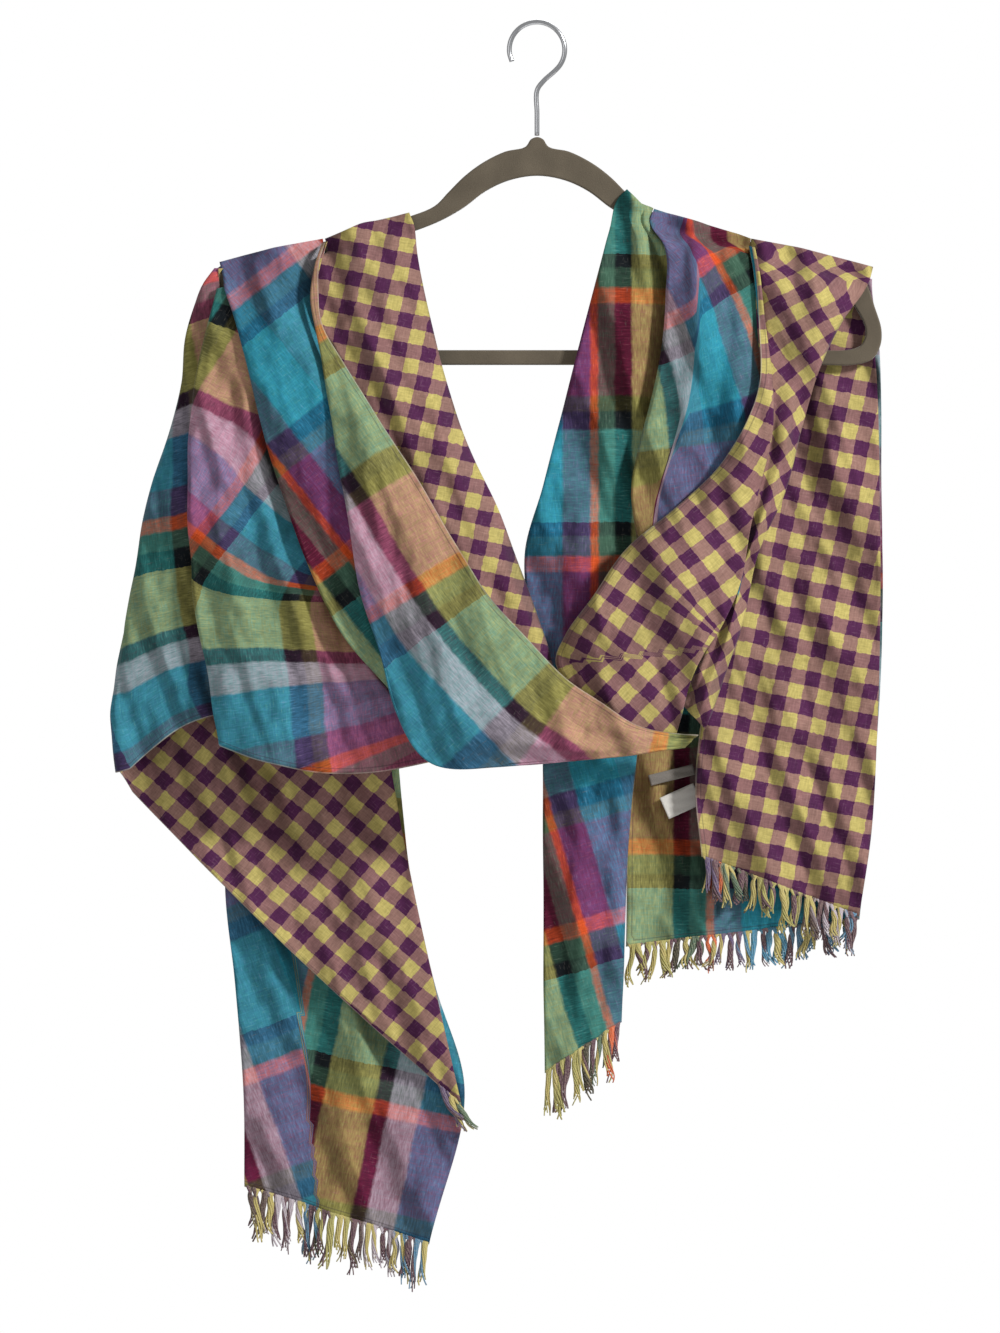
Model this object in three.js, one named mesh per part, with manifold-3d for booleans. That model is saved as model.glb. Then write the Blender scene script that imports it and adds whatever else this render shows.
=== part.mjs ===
// A long double-faced scarf, madras plaid on one face and gingham on the other, draped over a velvet clothes hanger.
// Units are millimetres. X runs to the wearer's left as the scarf is seen from the front, -Y faces the viewer, +Z is up.
// The origin is the top of the hook's inside, where the rail carries it.
import * as THREE from "three";
import { mergeVertices } from "three/addons/utils/BufferGeometryUtils.js";
import Module from "manifold-3d";

const wasm = await Module();
wasm.setup();

// Hanger sizes
const HANGER_THICK = 5.5;
const HANGER_BEVEL = 1.2;
const HOOK_WIRE_R = 1.6;
const HOOK_LOOP_R = 18;
const HOOK_SIDES = 8;
const NECK_TOP_Z = -72.5;
const STEM_TOP_Z = -43;
const LOOP_START_DEG = -50;
const LOOP_END_DEG = 205;
const LOOP_STEPS = 15;
const SEAT_GAP = 0.3;

// Cloth sizes
const CLOTH_T = 1.2;
const SEAM_GAP = 0.4;
const ARM_CLEAR = 1.15;
const ARM_SIDE_Y = 4.0;

// Right half of the hanger's outer outline, from the neck out to the tip and back under the bar: x, z
const OUTER_HALF = [
  [0, NECK_TOP_Z], [4.5, -74.2], [8, -79], [21, -82], [36, -89.5], [48, -98.5], [58, -108.5], [67, -117.5],
  [84, -124.5], [110, -133], [138, -140.5], [171, -146.5], [203, -155], [211, -160.5], [216.5, -172],
  [220, -183], [224.5, -198], [223.8, -209], [218.5, -218], [205, -222],
];
const ARM_END_X = 203;
// Right half of the window inside the hanger, from under the neck to the bar: x, z
const INNER_HALF = [
  [0, -99], [18, -102], [33, -109], [47, -119.5], [62, -128], [81, -135.5], [110, -144], [138, -152],
  [171, -160], [193, -169], [206, -184], [213, -199], [210, -208], [200, -211],
];

// Sheet-making

const sub = (a, b) => a.map((v, i) => v - b[i]);
const add = (a, b) => a.map((v, i) => v + b[i]);
const times = (a, k) => a.map((v) => v * k);
const cross = (a, b) => [a[1] * b[2] - a[2] * b[1], a[2] * b[0] - a[0] * b[2], a[0] * b[1] - a[1] * b[0]];
const unit = (a) => times(a, 1 / Math.max(Math.hypot(...a), 1e-9));
const mix = (a, b, t) => a.map((v, i) => v + (b[i] - v) * t);
const smooth = (t) => {
  const c = Math.min(1, Math.max(0, t));
  return c * c * (3 - 2 * c);
};

// Smooth curve through rows of points, each row one section, with knots as far apart as the rows are.
function refine(rows, steps) {
  const gap = (a, b) => a.reduce((sum, p, i) => sum + Math.hypot(...sub(p, b[i])), 0) / a.length;
  const h = rows.slice(1).map((row, i) => Math.max(gap(row, rows[i]), 1e-3));
  const slope = rows.slice(1).map((row, i) => row.map((p, j) => times(sub(p, rows[i][j]), 1 / h[i])));
  const tangent = rows.map((row, i) =>
    row.map((p, j) => {
      if (i === 0) return slope[0][j];
      if (i === rows.length - 1) return slope[i - 1][j];
      const before = times(slope[i - 1][j], h[i]);
      const after = times(slope[i][j], h[i - 1]);
      return times(add(before, after), 1 / (h[i - 1] + h[i]));
    }),
  );
  const made = [rows[0]];
  for (let i = 0; i < rows.length - 1; i++) {
    const n = steps(i);
    for (let k = 1; k <= n; k++) {
      const u = k / n;
      const a = (1 + 2 * u) * (1 - u) * (1 - u);
      const b = u * (1 - u) * (1 - u) * h[i];
      const c = u * u * (3 - 2 * u);
      const d = u * u * (u - 1) * h[i];
      made.push(
        rows[i].map((p, j) =>
          p.map(
            (v, m) =>
              v * a + tangent[i][j][m] * b + rows[i + 1][j][m] * c + tangent[i + 1][j][m] * d,
          ),
        ),
      );
    }
  }
  return made;
}

// The outward side of a grid of points at row i, column j.
function normalAt(grid, i, j) {
  const up = grid[Math.max(i - 1, 0)][j];
  const down = grid[Math.min(i + 1, grid.length - 1)][j];
  const left = grid[i][Math.max(j - 1, 0)];
  const right = grid[i][Math.min(j + 1, grid[i].length - 1)];
  return unit(cross(sub(down, up), sub(right, left)));
}

// A grid moved along its normals.
function offsetGrid(grid, by) {
  return grid.map((row, i) => row.map((p, j) => add(p, times(normalAt(grid, i, j), by))));
}

// A closed wall of the given thickness around a grid of points.
function wall(grid, thick) {
  const front = offsetGrid(grid, thick / 2);
  const back = offsetGrid(grid, -thick / 2);
  const ni = grid.length;
  const nj = grid[0].length;
  const position = [...front.flat(), ...back.flat()].flat();
  const at = (side, i, j) => side * ni * nj + i * nj + j;
  const index = [];
  const quad = (a, b, c, d) => index.push(a, b, c, a, c, d);
  for (let i = 0; i < ni - 1; i++) {
    for (let j = 0; j < nj - 1; j++) {
      quad(at(0, i, j), at(0, i + 1, j), at(0, i + 1, j + 1), at(0, i, j + 1));
      quad(at(1, i, j), at(1, i, j + 1), at(1, i + 1, j + 1), at(1, i + 1, j));
    }
    quad(at(0, i, 0), at(1, i, 0), at(1, i + 1, 0), at(0, i + 1, 0));
    quad(at(0, i + 1, nj - 1), at(1, i + 1, nj - 1), at(1, i, nj - 1), at(0, i, nj - 1));
  }
  for (let j = 0; j < nj - 1; j++) {
    quad(at(0, 0, j + 1), at(1, 0, j + 1), at(1, 0, j), at(0, 0, j));
    quad(at(0, ni - 1, j), at(1, ni - 1, j), at(1, ni - 1, j + 1), at(0, ni - 1, j + 1));
  }
  const geometry = new THREE.BufferGeometry();
  geometry.setAttribute("position", new THREE.Float32BufferAttribute(position, 3));
  geometry.setIndex(index);
  return geometry;
}

// Top of the hanger's arm at x, and the slope's outward direction there. Past its end the cloth keeps the slope.
function armTop(x) {
  const far = Math.abs(x);
  const k = OUTER_HALF.findIndex(([px], i) => i > 0 && px >= Math.min(far, ARM_END_X));
  const [x0, z0] = OUTER_HALF[k - 1];
  const [x1, z1] = OUTER_HALF[k];
  const long = Math.hypot(x1 - x0, z1 - z0);
  return { z: z0 + ((far - x0) / (x1 - x0)) * (z1 - z0), nx: (Math.sign(x) * (z0 - z1)) / long, nz: (x1 - x0) / long };
}

// Places across the arm's top, from the back to the front: y, height over the arm
const ARCH = [
  [ARM_SIDE_Y, -9],
  [ARM_SIDE_Y, -1.4],
  [2.7, 0.75],
  [0, ARM_CLEAR],
  [-2.7, 0.75],
  [-ARM_SIDE_Y, -1.4],
  [-ARM_SIDE_Y - 0.6, -6],
];

// The rows of a stretch that goes over the arm from x = from to x = to, with a small puff between.
function overArm(from, to, count, puff = 0) {
  return ARCH.map(([y, high]) =>
    Array.from({ length: count }, (_, j) => {
      const t = j / (count - 1);
      const x = from + (to - from) * t;
      const arm = armTop(x);
      const up = high + (high > 0 ? puff * Math.sin(Math.PI * t) : 0);
      return [x + arm.nx * up, y, arm.z + arm.nz * up];
    }),
  );
}

// One section across a stretch: a run from edge a to edge b, with a belly towards the viewer and a sag down,
// and at either edge a lip that is turned under. Lips start small in the first row and grow over three.
const LIP_DEPTH = 0.6;
const LIP_START = 4;
const LIP_ROWS = 3;
function section([ax, az, ay, bx, bz, by, belly, sag = 0], i, { count, lipA = 0, lipB = 0 }) {
  const a = [ax, ay, az];
  const b = [bx, by, bz];
  const along = unit(sub(b, a));
  const points = Array.from({ length: count }, (_, j) => {
    const t = j / (count - 1);
    const arc = Math.sin(Math.PI * t);
    return add(mix(a, b, t), [0, -belly * arc ** 0.8, -sag * arc]);
  });
  const lip = (edge, inward, full) => {
    const size = LIP_START + (full - LIP_START) * smooth(i / LIP_ROWS);
    return [
      add(edge, add(times(inward, size), [0, size * LIP_DEPTH, 0])),
      add(edge, add(times(inward, size * 0.15), [0, size * LIP_DEPTH * 0.5, 0])),
    ];
  };
  return [
    ...(lipA ? lip(a, along, lipA) : []),
    ...points,
    ...(lipB ? lip(b, times(along, -1), lipB).reverse() : []),
  ];
}

// Ridges (depth above 0) and troughs that run down a stretch. t is the place across it, s the place along it.
function crease(grid, folds) {
  return grid.map((row, i) =>
    row.map((p, j) => {
      const s = i / (grid.length - 1);
      const t = j / (row.length - 1);
      const push = folds.reduce((sum, [tTop, tEnd, width, depth, sFrom, sTo]) => {
        const place = (t - (tTop + (tEnd - tTop) * s)) / width;
        const fade = smooth((s - sFrom) / 0.15) * (sTo >= 1 ? 1 : smooth((sTo - s) / 0.15));
        return sum + depth * Math.exp(-place * place) * fade;
      }, 0);
      return [p[0], p[1] - push, p[2]];
    }),
  );
}

// The grid of a stretch from its table.
function stretchGrid({ rows, over, count, lipA, lipB, folds = [], steps = 2 }) {
  const sections = rows.map((row, i) => section(row, i, { count, lipA, lipB }));
  const arch = over ? overArm(over[0], over[1], count, over[2]) : [];
  const made = refine([...arch, ...sections], (i) => (i < arch.length - 1 ? 1 : steps));
  return crease(made, folds);
}

// Colours of the two faces, blended as one for each node
const PLAID_COLOUR = 0x4d7f86;
const GINGHAM_COLOUR = 0x8c6a55;

function clothMesh(name, grid, colour) {
  const material = new THREE.MeshStandardMaterial({ color: colour, roughness: 0.9, metalness: 0 });
  const mesh = new THREE.Mesh(wall(grid, CLOTH_T), material);
  mesh.name = name;
  return mesh;
}

// The stretches of the scarf. Columns of rows: a.x, a.z, a.y, b.x, b.z, b.y, belly, sag
// Columns of folds: t at the top, t at the end, width, depth, s from, s to
// Columns of over: x of edge a, x of edge b on the arm, puff

// Plaid pleat that comes over the left arm and runs down to the right, under the front swag.
const LEFT_CHEST = {
  over: [-209, -139, 0],
  rows: [
    [-203, -172, -12.5, -138, -160, -9, 2],
    [-197, -190, -17, -132, -176, -12, 4],
    [-190, -215, -21, -124, -197, -14, 5],
    [-179, -258, -26, -110, -238, -20, 6],
    [-165, -306, -31, -98, -282, -25, 6],
    [-149, -350, -36, -86, -320, -30, 5],
    [-126, -396, -40, -70, -356, -34, 4],
    [-94, -434, -42, -50, -392, -36, 4],
    [-80, -454, -41, -42, -416, -36, 2],
  ],
  count: 9,
  folds: [[0.5, 0.55, 0.14, 3, 0.45, 0.95], [0.78, 0.8, 0.1, -2.5, 0.5, 1]],
};

// Plaid pleat in front of the outer fall, that turns to the right at the foot.
const LEFT_FRONT = {
  rows: [
    [-207.5, -172, -8.6, -189, -168, -7.6, 0.2],
    [-215, -202, -14.5, -184, -196, -11, 1],
    [-223, -240, -19, -174, -236, -14, 3],
    [-224, -290, -23, -160, -292, -18, 6],
    [-224, -345, -26, -144, -350, -22, 8],
    [-218, -400, -29, -108, -420, -26, 8],
    [-212, -440, -31, -76, -456, -29, 8, 6],
    [-208, -468, -31, -60, -477, -30, 8, 14],
  ],
  count: 9,
  lipA: 9,
  folds: [[0.38, 0.36, 0.1, 3, 0.3, 1], [0.6, 0.6, 0.12, -3, 0.35, 1], [0.8, 0.78, 0.1, 2, 0.5, 1]],
};

// The swag across the front: plaid, hemmed along its upper edge and folded under along its lower one.
const FRONT_SWAG = {
  rows: [
    [-150, -178, -21.5, -141.5, -174, -22.5, 0.3],
    [-142.5, -202, -25, -139, -196, -26, 0.5],
    [-138, -224, -29, -125, -221, -32, 1],
    [-132, -258, -35, -104, -254, -38, 3],
    [-124, -302, -41, -79, -294, -44, 5],
    [-115, -352, -47, -54, -336, -49, 6],
    [-103, -404, -52, -32, -370, -52, 8],
    [-91, -448, -56, -8, -398, -53, 9],
    [-68, -480, -57, 18, -424, -52, 9],
    [-28, -482, -55, 42, -441, -49, 7],
    [20, -479, -52, 64, -455, -45, 4],
    [62, -474, -45, 84, -460, -40, 1.5],
    [95, -469.5, -38, 104, -461.5, -35, 0.2],
  ],
  count: 8,
  lipA: 5,
  folds: [[0.45, 0.5, 0.1, 2.2, 0.3, 0.9], [0.7, 0.72, 0.09, -1.8, 0.35, 0.9]],
};

// Gingham stretch that comes over the left arm beside the neck and runs down behind the swag's hem.
const LEFT_NECK = {
  over: [-137.5, -82.5, 2.5],
  rows: [
    [-142, -153, -13, -78, -148, -8, 2],
    [-145, -172, -18, -74, -168, -12, 3],
    [-142, -194, -21, -68, -196, -13, 4],
    [-131, -212, -23.5, -62, -222, -14, 6],
    [-114, -252, -30, -49, -262, -17, 6],
    [-98, -292, -35, -32, -303, -21, 6],
    [-78, -334, -40, -14, -346, -25, 6],
    [-56, -374, -43, 2, -390, -29, 5],
    [-38, -400, -43, 8, -411, -31, 4],
    [-22, -418, -41, 9, -424, -33, 2],
  ],
  count: 9,
  steps: 1,
  folds: [[0.35, 0.4, 0.12, 3.5, 0.4, 0.95], [0.6, 0.62, 0.12, -3, 0.45, 0.95]],
};

// Plaid layer of the left tail, behind the gingham flap and down to the fringe.
const LEFT_UNDER = {
  rows: [
    [-137.5, -151, 5, -83, -135.6, 5, 0],
    [-146, -210, 14, -95, -200, 13, -1],
    [-165, -300, 21, -100, -300, 20, -2],
    [-190, -450, 27, -92, -450, 25, -2],
    [-204, -550, 31, -84, -545, 26, -2],
    [-197, -628, 30, -66, -628, 22, -2],
    [-192, -690, 27, -47, -692, 18, -2],
    [-191, -757, 24, -70, -794, 15, -2],
  ],
  count: 11,
  folds: [[0.34, 0.34, 0.12, -5, 0.5, 1], [0.52, 0.5, 0.12, 4, 0.5, 1]],
};

// Plaid strand beside the neck on the right, that runs behind the crossing and hangs down to a fringed end.
const RIGHT_NECK = {
  over: [57.5, 74, 0],
  rows: [
    [47, -134, -8, 86, -146, -7.2, 1],
    [40, -160, -10, 106, -174, -10, 2],
    [29, -202, -11, 108, -214, -12, 2],
    [15.5, -255, -12, 100, -268, -14, 2],
    [4, -300, -14, 84, -314, -16, 2],
    [-8, -345, -16, 64, -360, -18, 3],
    [-6, -376, -17, 50, -392, -19, 3],
    [2, -412, -18, 56, -424, -19, 3],
    [4, -450, -18, 66, -456, -18, 4],
    [4, -482, -18, 64, -480, -16, 5],
    [4, -545, -16, 59, -532, -13, 5],
    [4, -612, -14, 57, -590, -11, 4],
    [5, -681, -12, 55, -648, -10, 3],
  ],
  count: 8,
  steps: 1,
  folds: [[0.45, 0.4, 0.12, 2.5, 0.2, 1], [0.72, 0.72, 0.12, -2, 0.5, 1]],
};

// Rolled plaid pleat over the right arm, in front of the neck strand.
const RIGHT_ROLL = {
  over: [78.5, 137.5, 1.5],
  rows: [
    [82, -144, -17, 138, -152, -9, 5],
    [83, -178, -20.5, 147, -184, -12, 9],
    [80, -214, -22, 150, -220, -14, 11],
    [73, -248, -23, 148, -256, -18, 10],
    [66, -276, -24, 136, -288, -22, 7],
    [61, -305, -25.5, 120, -318, -26, 5],
    [64, -334, -26.5, 106, -346, -28, 2],
  ],
  count: 8,
  folds: [[0.3, 0.35, 0.12, 3.5, 0.4, 0.9], [0.58, 0.6, 0.12, -4, 0.4, 0.9]],
};

// Gingham cowl, hemmed along its upper left edge, that hangs from the right shoulder to the crossing.
const RIGHT_COWL = {
  rows: [
    [143.5, -196, -24, 151, -196, -24.2, 0.2],
    [143.5, -235, -30, 154, -235, -29.5, 1],
    [136, -258, -34, 152, -262, -33, 2],
    [118, -288, -37, 144, -298, -37, 5],
    [88, -316, -38, 138, -330, -40, 8],
    [60, -340, -38, 131, -359, -42, 10],
    [37, -370, -38, 120, -390, -42, 10],
    [18, -398, -38, 107, -410, -39, 8],
    [12, -416, -38, 100, -428, -36, 4],
    [24, -434, -39, 96, -445, -34, 3],
    [48, -457, -38, 91, -462, -31, 1],
  ],
  count: 8,
  lipB: 6,
  steps: 1,
  folds: [[0.45, 0.38, 0.12, 2.5, 0.35, 0.75], [0.68, 0.6, 0.1, -2.5, 0.35, 0.75]],
};

// Gingham fall over the end of the right arm, drawn in to the foot of the cowl.
const RIGHT_FALL = {
  over: [139, 218, 0],
  rows: [
    [141, -158, -13, 213, -172, -8, 3],
    [142, -190, -18.5, 197, -195, -13, 5],
    [145, -225, -21, 181, -229, -16, 6],
    [146, -258, -22, 172, -262, -19, 6],
    [141, -300, -23, 159, -306, -21, 6],
    [127, -345, -24, 140, -351, -22, 6],
    [116, -385, -24, 131, -394, -23, 6],
    [103, -420, -24, 118, -432, -23, 6],
    [92, -440, -24, 109, -458, -23, 5],
  ],
  count: 8,
  folds: [[0.3, 0.3, 0.12, -2.5, 0.4, 1], [0.62, 0.62, 0.12, 3, 0.4, 1]],
};

// The neck strand's hidden end, behind the right arm.
const RIGHT_NECK_BACK = {
  rows: [
    [54.6, -120, 5.2, 135.5, -150.2, 5.2, 0, 7.5],
    [66, -150, 8, 134, -172, 8, -0.5],
    [86, -200, 10, 146, -212, 10, -0.5],
    [108, -250, 11, 170, -258, 10.5, -0.5],
  ],
  count: 7,
};

// Gingham face of the right tail, behind the hanger, folded along its right edge.
const RIGHT_TAIL = {
  rows: [
    [148, -172, 5, 216, -178, 5.2, 0],
    [141, -230, 5, 221, -228, 6, -0.5],
    [130, -300, 4, 223, -298, 6.5, -1],
    [118, -380, 3, 223.5, -380, 6, -1],
    [107, -450, 2, 221.5, -458, 5, -1],
    [103, -500, 2, 217.5, -526, 4, -1],
    [107, -541, 1, 209.5, -580, 3, -1],
  ],
  count: 12,
  folds: [[0.3, 0.3, 0.09, -3, 0.35, 1], [0.5, 0.5, 0.1, 3.5, 0.4, 1], [0.75, 0.75, 0.1, -2.5, 0.4, 1]],
};

// Plaid layer of the right tail, hung from the back of the right arm.
const RIGHT_UNDER = {
  rows: [
    [138, -150, 5, 218, -169.2, 5.2, 0],
    [134, -186, 15, 222.5, -202, 10, -2],
    [112, -276, 17.5, 224.5, -292, 11.5, -2],
    [86, -376, 17.5, 225, -390, 11.5, -2],
    [62, -480, 17, 220.5, -480, 10.5, -2],
    [58, -600, 15, 210, -582, 9.5, -2],
  ],
  count: 11,
  folds: [[0.22, 0.2, 0.12, -4, 0.3, 1], [0.45, 0.42, 0.12, 3, 0.4, 1], [0.7, 0.7, 0.12, -4, 0.3, 1]],
};

// The outer fall on the left. It wraps round the end of the arm: front, silhouette and back are one piece, cut along
// the scarf's long hem. Columns: front x, z, y; silhouette x, z; back x, z, y at the inner edge; belly of front and
// back; sag of front and back
const LEFT_OUTER = [
  [-205, -168, -4.8, -216.4, -168, -141, -153.4, 5, 0, 0, 0, -1.4],
  [-204, -184, -5, -222.8, -184, -140, -166, 6, 0, 0, 0, 0],
  [-203, -202, -5.4, -228, -202, -138, -190, 7, 0, 1, 0, 0],
  [-202, -228, -7, -230.8, -228, -134, -224, 8.5, 1, 2, 0, 0],
  [-200, -290, -10, -245.5, -286, -124, -290, 10, 2, 3, 0, 0],
  [-198, -366, -13, -263.5, -363, -108, -400, 12, 4, 4, 0, 0],
  [-197, -414, -14, -273.5, -428, -87, -530, 13, 4, 5, -4, 2],
  [-199, -447, -14, -272.5, -486, -49, -703, 12, 4, 5, -8, 6],
];
const OUTER_FRONT_POINTS = 5;
const OUTER_BACK_POINTS = 9;
const OUTER_ROUND = 9;

function outerSection([fx, fz, fy, sx, sz, bx, bz, by, frontBelly, backBelly, frontSag, backSag]) {
  const turn = Math.min(OUTER_ROUND, (by - fy) / 2);
  const nearFront = [sx + turn, fy * 0.85, sz + (fz - sz) * 0.06];
  const nearBack = [sx + turn, by * 0.85, sz + (bz - sz) * 0.06];
  const run = (from, to, parts, first, belly, sag) =>
    Array.from({ length: parts }, (_, j) => {
      const t = (j + first) / parts;
      const arc = Math.sin(Math.PI * t);
      return add(mix(from, to, t), [0, belly * arc, -sag * arc]);
    });
  return [
    ...run([fx, fy, fz], nearFront, OUTER_FRONT_POINTS, 0, -frontBelly, frontSag),
    nearFront,
    [sx + turn * 0.14, fy * 0.6, sz],
    [sx, 0, sz],
    [sx + turn * 0.14, by * 0.6, sz],
    nearBack,
    ...run(nearBack, [bx, by, bz], OUTER_BACK_POINTS, 1, backBelly, backSag),
  ];
}

const OUTER_FOLDS = [[0.16, 0.16, 0.06, 2, 0.45, 1], [0.62, 0.6, 0.07, 3, 0.45, 1], [0.82, 0.8, 0.06, -3, 0.5, 1]];
const leftOuterGrid = crease(refine(LEFT_OUTER.map(outerSection), (i) => (i < 3 ? 1 : 2)), OUTER_FOLDS);

// Fringe: locks of thread fused to a narrow strip along a hem.
const FRINGE_STRIP = 3;
const LOCK_SEGMENTS = 2;
const LOCK_SIDES = 4;
const LOCK_R = 1.3;

// A repeatable number from 0 to 1 for each whole number.
const scatter = (n) => {
  const v = Math.sin(n * 127.1 + 11.7) * 43758.5453;
  return v - Math.floor(v);
};

function solidOf(geometry) {
  const bare = geometry.clone();
  bare.deleteAttribute("normal");
  bare.deleteAttribute("uv");
  const merged = mergeVertices(bare, 1e-4);
  return new wasm.Manifold(
    new wasm.Mesh({
      numProp: 3,
      vertProperties: new Float32Array(merged.attributes.position.array),
      triVerts: new Uint32Array(merged.index.array),
    }),
  );
}

function geometryOf(solid) {
  const mesh = solid.getMesh();
  const geometry = new THREE.BufferGeometry();
  geometry.setAttribute("position", new THREE.BufferAttribute(new Float32Array(mesh.vertProperties), 3));
  geometry.setIndex(new THREE.BufferAttribute(new Uint32Array(mesh.triVerts), 1));
  return geometry;
}

// One lock: a tapered four-sided strand along a short curve.
function lock(path) {
  const position = [];
  const index = [];
  path.forEach((p, k) => {
    const r = LOCK_R * (1 - 0.55 * (k / (path.length - 1)));
    for (let m = 0; m < LOCK_SIDES; m++) {
      const turn = (2 * Math.PI * m) / LOCK_SIDES;
      position.push(p[0] + r * Math.cos(turn), p[1] + r * Math.sin(turn), p[2]);
    }
  });
  for (let k = 0; k < path.length - 1; k++) {
    for (let m = 0; m < LOCK_SIDES; m++) {
      const a = k * LOCK_SIDES + m;
      const b = k * LOCK_SIDES + ((m + 1) % LOCK_SIDES);
      index.push(a, a + LOCK_SIDES, b, b, a + LOCK_SIDES, b + LOCK_SIDES);
    }
  }
  const last = (path.length - 1) * LOCK_SIDES;
  for (let m = 1; m < LOCK_SIDES - 1; m++) {
    index.push(0, m, m + 1);
    index.push(last, last + m + 1, last + m);
  }
  const geometry = new THREE.BufferGeometry();
  geometry.setAttribute("position", new THREE.Float32BufferAttribute(position, 3));
  geometry.setIndex(index);
  return geometry;
}

// Locks hung along a stretch's hem, from place tFrom to tTo across it.
function fringe(name, grid, { locks, long, tFrom = 0.02, tTo = 0.98, seed, lean = 0 }) {
  const hem = grid[grid.length - 1];
  const above = grid[grid.length - 2];
  const first = Math.round(tFrom * (hem.length - 1));
  const end = Math.round(tTo * (hem.length - 1));
  const down = hem.map((p, j) => unit(sub(p, above[j])));
  const start = hem.map((p, j) => add(p, times(down[j], SEAM_GAP)));
  const strip = [0, FRINGE_STRIP].map((far) =>
    start.map((p, j) => add(p, times(down[j], far))).slice(first, end + 1),
  );
  const lower = strip[1];
  let solid = solidOf(wall(strip, CLOTH_T));
  for (let k = 0; k < locks; k++) {
    const t = (k + 0.5 + 0.45 * (scatter(seed + k) - 0.5)) / locks;
    const place = t * (lower.length - 1);
    const j = Math.min(Math.floor(place), lower.length - 2);
    const root = mix(lower[j], lower[j + 1], place - j);
    const length = long * (0.72 + 0.4 * scatter(seed + 50 + k));
    const side = lean + 10 * (scatter(seed + 100 + k) - 0.5);
    const depth = 7 * (scatter(seed + 150 + k) - 0.5);
    const path = Array.from({ length: LOCK_SEGMENTS + 1 }, (_, m) => {
      const u = m / LOCK_SEGMENTS;
      return [root[0] + side * u * u, root[1] + depth * u * u, root[2] + 1.2 - length * u];
    });
    solid = solid.add(solidOf(lock(path)));
  }
  const mesh = new THREE.Mesh(
    geometryOf(solid),
    new THREE.MeshStandardMaterial({ color: 0xa9a45c, roughness: 0.95, metalness: 0 }),
  );
  mesh.name = name;
  return mesh;
}

// Hanger

function hangerFrame() {
  const whole = (half) => [...half, ...half.slice(1).reverse().map(([x, z]) => [-x, z])];
  const points = (half) => whole(half).map(([x, z]) => new THREE.Vector2(x, z));
  const inset = HANGER_BEVEL;
  const shape = new THREE.Shape(points(OUTER_HALF));
  shape.holes.push(new THREE.Path(points(INNER_HALF).reverse()));
  const geometry = new THREE.ExtrudeGeometry(shape, {
    depth: HANGER_THICK - 2 * inset,
    bevelThickness: inset,
    bevelSize: inset,
    bevelOffset: -inset,
    bevelSegments: 1,
    curveSegments: 1,
  });
  geometry.translate(0, 0, -HANGER_THICK / 2 + inset);
  geometry.rotateX(Math.PI / 2);
  const mesh = new THREE.Mesh(
    geometry,
    new THREE.MeshStandardMaterial({ color: 0x6e6557, roughness: 0.95, metalness: 0 }),
  );
  mesh.name = "hanger_frame";
  return mesh;
}

function hangerHook() {
  const centreZ = -(HOOK_LOOP_R - HOOK_WIRE_R);
  const line = [
    new THREE.Vector3(0, 0, NECK_TOP_Z + SEAT_GAP),
    new THREE.Vector3(0, 0, (NECK_TOP_Z + STEM_TOP_Z) / 2),
    new THREE.Vector3(0, 0, STEM_TOP_Z),
    new THREE.Vector3(4.2, 0, -36.8),
  ];
  for (let k = 0; k <= LOOP_STEPS; k++) {
    const turn = THREE.MathUtils.degToRad(LOOP_START_DEG + ((LOOP_END_DEG - LOOP_START_DEG) * k) / LOOP_STEPS);
    line.push(new THREE.Vector3(HOOK_LOOP_R * Math.cos(turn), 0, centreZ + HOOK_LOOP_R * Math.sin(turn)));
  }
  const round = new THREE.Shape(
    Array.from({ length: HOOK_SIDES }, (_, m) => {
      const turn = (2 * Math.PI * (m + 0.5)) / HOOK_SIDES;
      return new THREE.Vector2(HOOK_WIRE_R * Math.cos(turn), HOOK_WIRE_R * Math.sin(turn));
    }),
  );
  const geometry = new THREE.ExtrudeGeometry(round, {
    extrudePath: new THREE.CatmullRomCurve3(line, false, "centripetal"),
    steps: 28,
    bevelEnabled: false,
  });
  const mesh = new THREE.Mesh(
    geometry,
    new THREE.MeshStandardMaterial({ color: 0xc4c6c8, roughness: 0.25, metalness: 1 }),
  );
  mesh.name = "hanger_hook";
  return mesh;
}

// Labels, sewn to the plaid layer of the right tail and bare of any words
const LABEL_T = 0.8;

// The depth of a stretch at a place x, z as seen from the front.
function depthAt(grid, x, z) {
  const inside = ([a, b, c]) => {
    const area = (b[0] - a[0]) * (c[2] - a[2]) - (c[0] - a[0]) * (b[2] - a[2]);
    const wb = ((x - a[0]) * (c[2] - a[2]) - (c[0] - a[0]) * (z - a[2])) / area;
    const wc = ((b[0] - a[0]) * (z - a[2]) - (x - a[0]) * (b[2] - a[2])) / area;
    const wa = 1 - wb - wc;
    return Math.min(wa, wb, wc) < -1e-6 ? null : wa * a[1] + wb * b[1] + wc * c[1];
  };
  for (let i = 0; i < grid.length - 1; i++) {
    for (let j = 0; j < grid[i].length - 1; j++) {
      const [a, b, c, d] = [grid[i][j], grid[i][j + 1], grid[i + 1][j + 1], grid[i + 1][j]];
      const y = inside([a, b, c]) ?? inside([a, c, d]);
      if (y !== null) return y;
    }
  }
  throw new Error("the label is off its stretch");
}

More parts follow.
